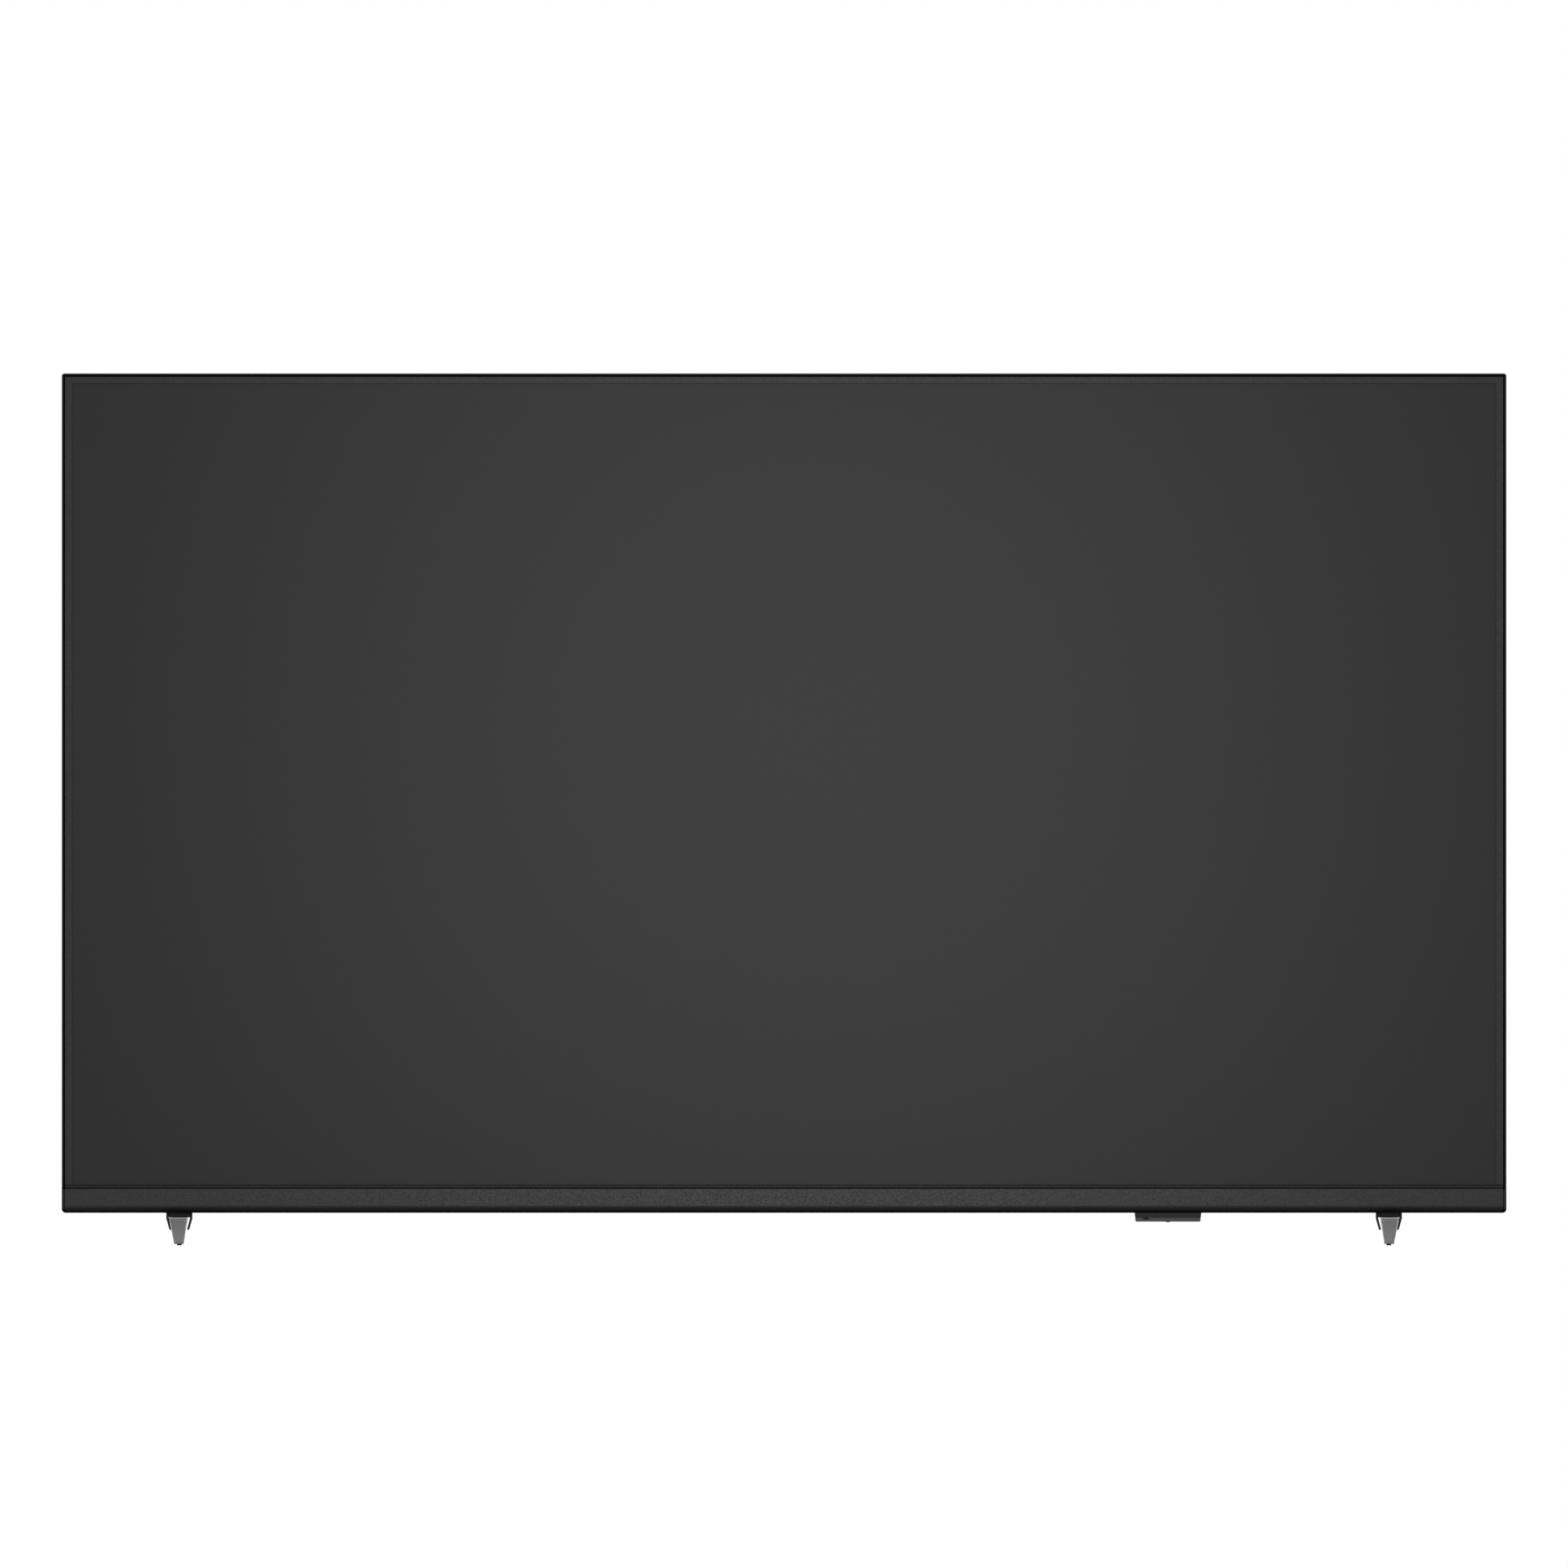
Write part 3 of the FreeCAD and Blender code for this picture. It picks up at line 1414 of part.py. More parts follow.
def make_ribbon_cables():
    """Flat cables: two from the timing board to the source boards, one from the main board."""
    ribbons = []
    thick = s.ribbon_thick
    back = y_board - s.seat_gap
    slim = (y_pan_back + y_rim_inside) / 2
    step = bulge_low + 3 * s.cover_wall
    low = source_top - s.board_thick - s.ribbon_dip
    front = y_ledge_back + s.source_board_wide / 2
    top = s.timing_board_low + s.timing_cover_inset
    up = source_top - s.board_thick
    path = [(back - thick, top), (back, top), (back, step), (slim + thick, step), (slim + thick, low),
            (front, low), (front, up), (front + thick, up), (front + thick, low + thick),
            (slim, low + thick), (slim, step + thick), (back - thick, step + thick)]
    for name, side in SIDES:
        body = body_named("ribbon_" + name)
        across = span(side * s.ribbon_x, s.ribbon_wide)
        pad(body, "side", across, [path])
        ribbons.append(body)
    wide = s.video_ribbon_wide
    right = -(board_inner - wide)
    left = right - wide
    start = left - wide
    upper = s.board_low_z + 3 * wide
    lower = s.timing_board_low + s.timing_board_tall / 2
    end = -s.timing_board_half + s.timing_cover_inset - s.seat_gap
    fold = [(start, upper), (start, upper - wide), (left, upper - wide), (left, lower),
            (end, lower), (end, lower + wide), (right, lower + wide), (right, upper)]
    body = body_named("ribbon_video")
    pad(body, "front", from_low(y_board_back + s.seat_gap, thick), [fold])
    ribbons.append(body)
    node("ribbon_cables", group("ribbon_set", ribbons))


def tube(name, points, radius, turn):
    """A round wire along straight runs joined by tangent arcs of one radius."""
    corners = [Vector(*[as_size(value).value for value in point]) for point in points]
    bend = turn.value
    edges = []
    start = corners[0]
    for before, corner, after in zip(corners, corners[1:], corners[2:]):
        into = (corner - before).normalize()
        out = (after - corner).normalize()
        arc_start = corner - into * bend
        arc_end = corner + out * bend
        middle = corner + (out - into).normalize() * bend * (2 ** 0.5 - 1)
        edges.append(Part.LineSegment(start, arc_start).toShape())
        edges.append(Part.Arc(arc_start, middle, arc_end).toShape())
        start = arc_end
    edges.append(Part.LineSegment(start, corners[-1]).toShape())
    path = Part.Wire(edges)
    along_path = (corners[1] - corners[0]).normalize()
    section = Part.Wire([Part.Circle(corners[0], along_path, radius.value).toShape()])
    wire = DOC.addObject("Part::Feature", name)
    wire.Shape = path.makePipeShell([section], True, False)
    return wire


def make_wiring():
    """The supply lead between the boards, the speakers' leads and the sensor box's lead."""
    y = y_board_back + s.wire_r + s.seat_gap
    gap = 3 * s.wire_r
    corridor = board_inner - gap - s.wire_turn
    landing = board_inner + s.wire_turn
    crossing = s.timing_board_low + s.timing_board_tall + gap
    entry = s.board_low_z + s.main_board_tall / 3
    supply = tube("supply_lead", [
        (landing, y, entry), (corridor, y, entry), (corridor, y, crossing),
        (-corridor, y, crossing), (-corridor, y, entry), (-landing, y, entry),
    ], s.wire_r, s.wire_turn / 2)
    speaker_x = (speaker_inner + speaker_outer) / 2
    speaker_top = s.speaker_high_z + s.seat_gap
    behind = y_pan_back + s.wire_r + s.seat_gap
    over = z_mount - mount_reach - s.rail_end - s.wire_turn
    left = tube("speaker_lead_left", [
        (-speaker_x, behind, over), (-speaker_x, behind, speaker_top),
    ], s.wire_r, s.wire_turn)
    right = tube("speaker_lead_right", [
        (-landing, behind, over), (speaker_x, behind, over), (speaker_x, behind, speaker_top),
    ], s.wire_r, s.wire_turn)
    forward = -s.sensor_lead_set_back
    slim = y_pan_back + s.thin_wire_r + s.seat_gap
    tray_z = s.ground_gap + s.chin_wall + s.wire_turn
    turn_x = -(board_inner + board_outer) / 2
    sensor = tube("sensor_lead", [
        (sensor_lead_x, forward, s.ground_gap - s.seat_gap / 2), (sensor_lead_x, forward, tray_z),
        (turn_x, forward, tray_z), (turn_x, slim, tray_z), (turn_x, slim, entry),
    ], s.thin_wire_r, s.thin_wire_turn)
    node("wiring", group("lead_set", [supply, left, right, sensor]))


# Speakers

def speaker_middle_y():
    return y_pan_back + s.seat_gap + s.speaker_deep / 2


def make_speakers():
    drivers = []
    for name, side in SIDES:
        across = mirrored((speaker_inner, speaker_outer), side)
        deep = span(speaker_middle_y(), s.speaker_deep)
        high = (s.speaker_low_z, s.speaker_high_z)
        wall = s.speaker_wall
        case = block("speaker_case_" + name, across, deep, high)
        hollow = block("speaker_hollow_" + name, (across[0] + wall, across[1] - wall),
                       (deep[0] + wall, deep[1] - wall), (high[0] + wall, high[1] - wall))
        middle = (side * (speaker_inner + speaker_outer) / 2, speaker_middle_y())
        mouth = rod("speaker_mouth_" + name, "z", middle, s.driver_r - s.speaker_wall,
                    (high[0] - wall, high[0] + wall))
        shell = cut("speaker_shell_" + name, case, [join("speaker_space_" + name, [hollow, mouth])])
        node("speaker_box_" + name, shell)
        flange = rod("driver_flange_" + name, "z", middle, s.driver_r, (high[0] - s.driver_flange, high[0]))
        neck = s.driver_r - s.speaker_wall - s.screw_clear
        cone_top = high[0] + s.driver_cone
        basket = taper("driver_basket_" + name, "z", middle, (neck, s.driver_neck_r), (high[0], cone_top))
        magnet = rod("driver_magnet_" + name, "z", middle, s.driver_neck_r,
                     from_low(cone_top, s.driver_magnet))
        drivers.append(join("driver_" + name, [flange, basket, magnet]))
    node("speaker_drivers", group("driver_set", drivers))


# Mains inlet and rocker

def pin_places():
    offset = s.pin_offset
    shift = s.pin_shift
    return [(inlet_x - offset, s.inlet_y - shift), (inlet_x, s.inlet_y - shift + s.pin_deep / 2),
            (inlet_x + offset, s.inlet_y - shift)]


def make_mains_inlet():
    under = s.bay_top - s.inlet_flange
    top = s.bay_top + s.inlet_tall
    flange = block("inlet_flange", span(inlet_x, s.inlet_flange_wide),
                   span(s.inlet_y, s.inlet_flange_deep), (under, s.bay_top))
    case = block("inlet_case", span(inlet_x, s.inlet_wide), span(s.inlet_y, s.inlet_deep),
                 (s.bay_top, top))
    whole = join("inlet_whole", [flange, case])
    tools = [block("inlet_bore", span(inlet_x, s.inlet_bore_wide), span(s.inlet_y, s.inlet_bore_deep),
                   (under - s.seat_gap, under + s.inlet_bore_tall))]
    for index, (x, y) in enumerate(pin_places()):
        tools.append(block("pin_slot_%d" % index, span(x, s.pin_wide + 2 * s.pin_clear),
                           span(y, s.pin_deep + 2 * s.pin_clear),
                           (under + s.inlet_bore_tall, top + s.seat_gap)))
    node("mains_inlet", cut("inlet_shell", whole, tools))
    pins = []
    roof = under + s.inlet_bore_tall
    for index, (x, y) in enumerate(pin_places()):
        pins.append(block("pin_%d" % index, span(x, s.pin_wide), span(y, s.pin_deep),
                          (roof - s.pin_long, top + s.pin_tab)))
    node("inlet_pins", group("pin_set", pins))


def make_rocker():
    pivot = s.bay_top + s.rocker_pivot_up
    under = s.bay_top - s.inlet_flange
    top = s.bay_top + s.rocker_case_tall
    flange = block("rocker_flange", span(rocker_x, s.rocker_flange_wide),
                   span(s.inlet_y, s.rocker_flange_deep), (under, s.bay_top))
    case = block("rocker_case", span(rocker_x, s.rocker_case_wide), span(s.inlet_y, s.rocker_case_deep),
                 (s.bay_top, top))
    whole = join("rocker_frame_whole", [flange, case])
    bore = block("rocker_bore", span(rocker_x, s.rocker_bore_wide), span(s.inlet_y, s.rocker_bore_deep),
                 (under - s.seat_gap, top - s.socket_wall))
    pin_hole = rod("rocker_pin_hole", "y", (rocker_x, pivot), s.rocker_pin_r + s.rocker_pin_fit,
                   span(s.inlet_y, s.rocker_case_deep - s.rocker_pin_end))
    space = join("rocker_space", [bore, pin_hole])
    node("rocker_frame", cut("rocker_frame_shell", whole, [space]))
    body = body_named("rocker_paddle")
    half = s.rocker_half
    outline = [(-half, -s.rocker_drop), (0, -s.rocker_drop + s.rocker_notch), (half, -s.rocker_drop),
               (half - s.rocker_notch, s.rocker_rise), (-half + s.rocker_notch, s.rocker_rise)]
    pad(body, "front", span(as_size(0), s.rocker_deep), [outline])
    pin_half = s.rocker_case_deep / 2 - 2 * s.rocker_pin_end
    pad(body, "front", (-pin_half, pin_half), [], [(0, 0, s.rocker_pin_r)])
    body.Placement = Placement(Vector(), Rotation(Vector(0, 1, 0), s.rocker_lean.value))
    bind(body, "Placement.Rotation.Angle", s.rocker_lean)
    move_to(body, rocker_x, s.inlet_y, pivot)
    node("power_rocker", body)


# Sensor box

sensor_front = -s.sensor_front
sensor_low = s.ground_gap - s.sensor_tall


def make_sensor_housing():
    half = s.sensor_wide / 2
    low_half = s.sensor_low_wide / 2
    wall = s.sensor_wall
    x = sensor_x
    back = sensor_front + s.sensor_deep
    body = body_named("sensor_case")
    outline = [(x - low_half, sensor_low), (x + low_half, sensor_low),
               (x + half, s.ground_gap), (x - half, s.ground_gap)]
    pad(body, "front", (sensor_front - s.sensor_lean, back), [outline])
    step = s.ground_gap - s.sensor_band
    forward = sensor_front - s.sensor_lean
    above = [(forward - wall, s.ground_gap + wall), (forward - wall, step), (forward, sensor_low + wall / 2),
             (sensor_front, step), (sensor_front, s.ground_gap + wall)]
    pocket(body, "side", (x - half - wall, x + half + wall), [above])
    inner = low_half - wall
    hollow = rectangle((x - inner, x + inner), (sensor_front + wall, back - wall))
    pocket(body, "top", (sensor_low + wall, s.ground_gap), [hollow])
    window = rectangle((window_x[0] - s.window_clear, window_x[1] + s.window_clear),
                       (window_z[0] - s.window_clear, window_z[1] + s.window_clear))
    pocket(body, "front", (forward - wall, sensor_front + 2 * wall), [window])
    hole = (x, -s.button_y, s.button_r + s.button_fit)
    pocket(body, "top", (sensor_low - wall, sensor_low + 2 * wall), [], [hole])
    node("sensor_housing", body)


window_x = span(sensor_x - s.window_shift, s.window_wide)
window_z = span(s.ground_gap - s.window_drop - s.window_tall / 2, s.window_tall)


def make_sensor_window():
    front = sensor_front - s.sensor_lean / 4
    node("sensor_window", block("window_block", window_x, from_low(front, s.window_thick), window_z))


def make_sensor_board():
    middle_y = -s.button_y
    top = s.ground_gap - s.seat_gap
    sheet = block("sensor_sheet", span(sensor_x, s.sensor_board_long),
                  span(middle_y, s.sensor_board_deep), (top - s.sensor_board_thick, top))
    under = top - s.sensor_board_thick
    switch = block("switch_body", span(sensor_x, s.switch_side), span(middle_y, s.switch_side),
                   (under - s.switch_tall, under))
    receiver_low = sensor_low + s.sensor_wall + s.seat_gap
    receiver = block("receiver", span(sensor_x - s.window_shift, s.receiver_side),
                     from_low(sensor_front + s.window_thick + s.seat_gap, s.receiver_side / 2),
                     (receiver_low, under))
    node("sensor_board", join("sensor_board_whole", [sheet, switch, receiver]))


def make_standby_button():
    """A button through the box's underside: its flange keeps it in, its plunger meets the switch."""
    middle = (sensor_x, -s.button_y)
    floor = sensor_low + s.sensor_wall + s.button_rest_gap
    switch = s.ground_gap - s.seat_gap - s.sensor_board_thick - s.switch_tall
    flange = rod("button_flange", "z", middle, s.button_flange_r, from_low(floor, s.button_flange))
    stem = rod("button_stem", "z", middle, s.button_r, (sensor_low - s.button_proud, floor))
    plunger = rod("button_plunger", "z", middle, s.plunger_r,
                  (floor + s.button_flange, switch - s.button_travel - s.button_rest_gap))
    node("standby_button", join("button_whole", [flange, stem, plunger]))


# Feet

def leg_half(z):
    """Half the leg's width at a height: its flanks lean in towards the floor."""
    lean = (s.leg_top_half - s.leg_low_half) / (s.leg_top - s.pad_thick)
    return s.leg_low_half + (z - s.pad_thick) * lean


def leg_section(low, high, bevel):
    shoulder = high - bevel
    return [(-leg_half(low), low), (leg_half(low), low), (leg_half(shoulder), shoulder),
            (leg_half(high) - bevel, high), (bevel - leg_half(high), high), (-leg_half(shoulder), shoulder)]


def make_leg(name, side):
    """A low arch from the front toe to the rear toe, with a tenon that goes up into the bracket."""
    body = body_named("leg_body_" + name)
    hub = (-s.leg_hub_half, s.leg_hub_half)
    pad(body, "front", hub, [leg_section(s.leg_hub_low, s.leg_top, s.leg_bevel)])
    stations = [
        (s.leg_hub_half, s.leg_hub_low, s.leg_top, s.leg_bevel),
        (s.leg_mid, s.leg_mid_low, s.leg_mid_top, s.leg_bevel_end),
        (s.leg_heel, s.pad_thick, s.leg_heel_top, s.leg_bevel_end),
        (s.leg_reach, s.pad_thick, s.leg_toe_top, s.leg_bevel_end),
    ]
    for way in (-1, 1):
        sketches = [sketch_in(body, "front", place * way, [leg_section(low, high, bevel)])
                    for place, low, high, bevel in stations]
        loft = body.newObject("PartDesign::AdditiveLoft", body.Name + "_loft")
        loft.Profile = sketches[0]
        loft.Sections = sketches[1:]
        loft.Ruled = True
    tenon = rectangle((-s.tenon_half, s.tenon_half), (-s.tenon_deep / 2, s.tenon_deep / 2))
    pad(body, "top", (s.leg_top - s.leg_bevel, s.tenon_top), [tenon])
    hole = s.foot_screw_r + s.pin_clear
    holes = [(0, height, hole) for height in foot_screw_heights()]
    pocket(body, "front", (-s.tenon_deep / 4, s.tenon_deep), [], holes)
    move_to(body, side * foot_x, as_size(0), as_size(0))
    node("leg_" + name, body)


def foot_screw_heights():
    return [s.foot_screw_low_z, s.foot_screw_low_z + s.foot_screw_pitch]


def make_sleeve(name, side):
    """The black neck over the leg, with a cheek down each of its flanks."""
    body = body_named("neck_" + name)
    half = s.neck_wide / 2
    deep = (-s.neck_deep / 2, s.neck_deep / 2)
    high = (s.neck_low, s.neck_high)
    pad(body, "top", high, [rectangle((-half, half), deep)])
    cheek_deep = (deep[0] - s.cheek_proud, deep[1] + s.cheek_proud)
    for sign in (-1, 1):
        end = s.cheek_end_half
        cheek = [(sign * half, s.neck_low + s.cheek_thick), (sign * half, s.cheek_start),
                 (sign * end, s.cheek_end), (sign * (end - s.cheek_thick), s.cheek_end),
                 (sign * (half - s.cheek_thick), s.cheek_start),
                 (sign * (half - s.cheek_thick), s.neck_low + s.cheek_thick)]
        pad(body, "front", cheek_deep, [cheek])
    face_half = half - s.neck_side
    face = rectangle((-face_half, face_half), (deep[0] - s.neck_recess, deep[0] + s.neck_recess))
    pocket(body, "top", (s.neck_low - s.seat_gap, s.neck_high + s.seat_gap), [face])
    mortise = rectangle((-(s.tenon_half + s.foot_fit), s.tenon_half + s.foot_fit),
                        (-(s.tenon_deep / 2 + s.foot_fit), s.tenon_deep / 2 + s.foot_fit))
    pocket(body, "top", (s.neck_low - s.seat_gap, s.neck_high + s.seat_gap), [mortise])
    move_to(body, side * foot_x, as_size(0), as_size(0))
    node("sleeve_" + name, body)


def make_foot_pads():
    pads = []
    for name, side in SIDES:
        for end in (-1, 1):
            near_toe = s.leg_reach - s.pad_inset
            deep = mirrored((near_toe - s.pad_long, near_toe), end)
            pads.append(block("pad_%s_%d" % (name, end + 1), span(side * foot_x, s.pad_wide), deep,
                              (as_size(0), s.pad_thick)))
    node("foot_pads", group("pad_set", pads))


def make_foot_brackets():
    """Steel sockets on the back pan that take the legs' tenons."""
    brackets = []
    wall = s.bracket_wall
    fit = s.foot_fit
    for name, side in SIDES:
        x = side * foot_x
        half = s.tenon_half + fit + wall
        back = s.tenon_deep / 2 + fit + wall
        box = block("bracket_box_" + name, (x - half, x + half), (y_pan_back, back),
                    (s.bracket_low, s.bracket_top))
        flange = block("bracket_flange_" + name,
                       (x - s.bracket_flange_half, x + s.bracket_flange_half),
                       from_low(y_pan_back, wall), (s.bracket_flange_low, s.bracket_top))
        solid = join("bracket_solid_" + name, [box, flange])
        tenon_hole = block("bracket_hole_" + name, (x - s.tenon_half - fit, x + s.tenon_half + fit),
                           (-(s.tenon_deep / 2 + fit), s.tenon_deep / 2 + fit),
                           (s.bracket_low - fit, s.tenon_top + fit))
        tools = [tenon_hole]
        for index, height in enumerate(foot_screw_heights()):
            tools.append(rod("bracket_screw_hole_%s_%d" % (name, index), "y", (x, height),
                             s.foot_screw_r + s.screw_clear, (s.tenon_deep / 2, back + wall)))
        brackets.append(cut("bracket_" + name, solid, [join("bracket_space_" + name, tools)]))
    node("foot_brackets", group("bracket_set", brackets))


def make_foot_screws():
    head = (s.foot_screw_head_r, s.foot_screw_head)
    screws = []
    for name, side in SIDES:
        for index, height in enumerate(foot_screw_heights()):
            label = "foot_screw_%s_%d" % (name, index)
            screws.append(cross_headed_screw(label, (side * foot_x, height), s.boss_back, head,
                                             s.foot_screw_r, -s.tenon_deep / 4 + s.foot_fit))
    node("foot_screws", group("foot_screw_set", screws))


def make_all():
    make_screen_cell()
    make_cell_gasket()
    make_panel_guide()
    make_optical_films()
    make_diffuser_plate()
    make_diffuser_posts()
    make_reflector_tray()
    make_led_bars()
    make_led_lenses()
    make_back_pan()
    make_trim_top()
    make_bezel_top()
    make_bezel_bottom()
    make_chin_bar()
    for name, side in SIDES:
        make_trim_side(name, side)
        make_bezel_side(name, side)
        make_leg(name, side)
        make_sleeve(name, side)
    make_rear_cover()
    make_cover_screws()
    make_mount_rails()
    make_mount_bushes()
    make_board("main_board", main_across, main_high)
    make_board("power_board", power_across, power_high)
    make_board("timing_board", timing_across, timing_high)
    make_board_fixings()
    make_main_board_chips()
    make_processor_heatsink()
    make_plug_sockets("hdmi_sockets", "hdmi")
    make_plug_sockets("usb_sockets", "usb")
    make_lan_socket()
    make_round_sockets()
    make_socket_shields()
    make_power_board_parts()
    make_timing_cover()
    make_source_boards()
    make_ribbon_cables()
    make_wiring()
    make_speakers()
    make_mains_inlet()
    make_rocker()
    make_sensor_housing()
    make_sensor_window()
    make_sensor_board()
    make_standby_button()
    make_foot_pads()
    make_foot_brackets()
    make_foot_screws()


def check_model():
    """Stop if any object failed, a cut took nothing away or a sub-part's shape isn't sound."""
    for item in DOC.Objects:
        if "Invalid" in item.State or "Error" in item.State:
            raise RuntimeError("failed: " + item.Label)
        if item.TypeId == "PartDesign::Pocket":
            if item.Shape.Volume > item.BaseFeature.Shape.Volume - 0.01:
                raise RuntimeError("cuts nothing: " + item.Label)
    for item in NODES:
        if item.Shape.isNull() or not item.Shape.isValid() or item.Shape.Volume <= 0:
            raise RuntimeError("no sound shape: " + item.Label)


def write_parts():
    os.makedirs("parts", exist_ok=True)
    for item in NODES:
        item.Shape.exportStep("parts/%s.step" % item.Label)
        print("%-22s %3d solids %12.1f mm3" % (item.Label, len(item.Shape.Solids), item.Shape.Volume))


make_all()
DOC.recompute()
check_model()
write_parts()
print(len(NODES), "sub-parts")
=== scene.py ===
import json
from math import pi, radians
from typing import NamedTuple

import bmesh
import bpy
import numpy as np
from bpy.props import FloatProperty, FloatVectorProperty, PointerProperty
from bpy.types import Operator, Panel, PropertyGroup
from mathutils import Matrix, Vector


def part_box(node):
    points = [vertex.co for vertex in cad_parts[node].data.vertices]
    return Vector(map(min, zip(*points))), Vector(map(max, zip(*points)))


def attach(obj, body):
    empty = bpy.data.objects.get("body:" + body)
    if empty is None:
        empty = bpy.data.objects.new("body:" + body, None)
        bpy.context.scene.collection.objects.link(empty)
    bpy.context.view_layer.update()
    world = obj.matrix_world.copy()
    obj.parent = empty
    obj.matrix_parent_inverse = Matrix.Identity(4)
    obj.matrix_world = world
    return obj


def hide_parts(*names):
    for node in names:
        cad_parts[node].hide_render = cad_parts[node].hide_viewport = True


bl_info = {
    "name": "Large format display",
    "version": (1, 0, 0),
    "blender": (4, 5, 0),
    "location": "View3D > Sidebar > Display",
    "description": "Dresses the packed model of a large format display on two feet",
    "category": "Object",
}

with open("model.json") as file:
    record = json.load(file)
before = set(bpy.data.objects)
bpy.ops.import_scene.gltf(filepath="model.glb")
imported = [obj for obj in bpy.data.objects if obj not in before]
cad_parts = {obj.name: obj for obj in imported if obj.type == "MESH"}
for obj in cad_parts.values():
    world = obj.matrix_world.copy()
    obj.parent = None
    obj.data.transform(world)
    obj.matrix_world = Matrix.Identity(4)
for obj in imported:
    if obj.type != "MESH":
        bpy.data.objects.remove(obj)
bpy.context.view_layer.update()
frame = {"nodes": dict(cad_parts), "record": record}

NODES = frame["nodes"]
SLOT_OF = {row["node"]: row["material_slot"] for row in frame["record"]["subparts"]}

MM = 0.001
BODY = "display"


def low_high(node):
    """A sub-part's lowest and highest corners as two arrays of x, y, z."""
    low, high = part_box(node)
    return np.array(low), np.array(high)


TRIM_LOW, TRIM_HIGH = low_high("trim_left")
TOP_HIGH = low_high("trim_top")[1]
CHIN_LOW, CHIN_HIGH = low_high("chin_bar")
BEZEL_LOW, BEZEL_HIGH = low_high("bezel_bottom")
SIDE_LOW, SIDE_HIGH = low_high("bezel_right")
SLEEVE_LOW, SLEEVE_HIGH = low_high("sleeve_right")
CELL_FACE = low_high("screen_cell")[0][1]
HEAD_LOW, HEAD_HIGH = low_high("bezel_top")
BOX_LOW, BOX_HIGH = low_high("sensor_housing")
WINDOW_LOW, WINDOW_HIGH = low_high("sensor_window")
BUTTON_LOW, BUTTON_HIGH = low_high("standby_button")

# Stage, in metres; the ambient light and the floor's reflectance have no unit
FRAME_WIDE = 1.57255
FRAME_X = -0.00008
FRAME_Z = 0.46270
EYE_AWAY = 5.0
VIEW_END = 50
AMBIENT = 0.55
FLOOR_BOUNCE = 0.25
FLOOR_HALF = 9
FLOOR_DROP = 0.0003
# Distances between which the floor fades to plain white for the camera
FLOOR_NEAR = 0.9
FLOOR_FAR = 2.4

# Outer trim: the lip seen from the front, and the web behind it, near-black as painted shade in
# the gap
HALF_OUT = TOP_HIGH[0]
LIP_WIDE = 1.65 * MM
LIP_THIN = 0.75 * MM
LIP_STEP = 0.4 * MM
TOP_EASE = 0.3 * MM
WEB_SET_BACK = 4.5 * MM
WEB_THICK = 1.5 * MM
WEB_WIDE = 2.7 * MM
WEB_EASE = 0.1 * MM

# Border over the screen, and the fine line round the screen, darker as a painted shadow at the
# border's inner edge
HEAD_EASE = 0.42 * MM
HEAD_LEG = 1.5 * MM
HEAD_ROUND = 0.12 * MM
CELL_LINE = 0.8 * MM
LINE_PROUD = 0.04 * MM
LINE_DEEP = 0.2 * MM
LINE_CORNER = 0.02 * MM
LINE_EASE = 0.01 * MM

# Two strips and a seam between the screen and the chin
STRIP_LOW = 58.0 * MM
STRIP_SPLIT = 59.7 * MM
STRIP_TOP = 61.3 * MM
STRIP_PROUD = 0.05 * MM
STRIP_EASE = 0.1 * MM
STRIP_LOW_EASE = 0.3 * MM
STRIP_HALF = SIDE_HIGH[0]
SEAM_DEEP = 0.2 * MM
SEAM_EASE = 0.05 * MM

# Chin bar: its face ends at FACE_END, and a thin upright tip stands beyond it at each end
CHIN_WALL = 2 * MM
CHIN_EASE = 0.4 * MM
CHIN_END_GAP = 0.02 * MM
FACE_END = 721.25 * MM
TIP_START = 722.05 * MM
TIP_END = 722.85 * MM
END_SET_BACK = 1.4 * MM
END_EASE = 0.1 * MM
# Angles of the roll's normals under the level, in degrees, at which its next finish starts
TURN_ANGLES = np.arange(5, 48, 4)
# Specular levels of the roll's finishes, from the face down, lowered as painted shade on faces
# that look down
TURN_LEVELS = (0.295, 0.285, 0.265, 0.235, 0.2, 0.165, 0.13, 0.1, 0.08, 0.06)

# Sensor box: an upper band, a waist and a lower band
SENSOR_BAND = 5.0 * MM
SENSOR_LEAN = 1.6 * MM
SENSOR_WAIST = 0.35 * MM
SENSOR_LIP = 0.5 * MM
SENSOR_LOW_HALF = 32.4 * MM
SENSOR_WALL = 1.4 * MM
SENSOR_EASE = 0.4 * MM
SENSOR_CORNER = 1.1 * MM
SENSOR_INNER_CORNER = 0.8 * MM
SENSOR_STEP_HALF = 0.05 * MM
SENSOR_ROOF = 0.02 * MM
WINDOW_EASE = 0.35 * MM
WINDOW_CORNER = 0.35 * MM
# The window's rings: how far each lies behind the box's face, and inside the outline
WINDOW_BEHIND = np.array([1.2, -0.02, -0.08]) * MM
WINDOW_INSIDE = np.array([0, 0, 0.12]) * MM

# Push button: radius and height over its lowest point, from its pole to its side
BUTTON_CAP = np.array([(0.02, 0.12), (0.9, 0.1), (1.5, 0.03), (1.75, 0.0), (1.93, 0.05),
                       (2.02, 0.16), (2.05, 0.35)]) * MM
BUTTON_R = 2.05 * MM
BUTTON_FIT = 0.08 * MM
BUTTON_LEAD_IN = 0.25 * MM
BUTTON_CORE_R = 1.2 * MM
BUTTON_POLE_R = 0.02 * MM
FLANGE_R = 2.9 * MM
FLANGE_THICK = 0.6 * MM
FLANGE_GAP = 0.05 * MM

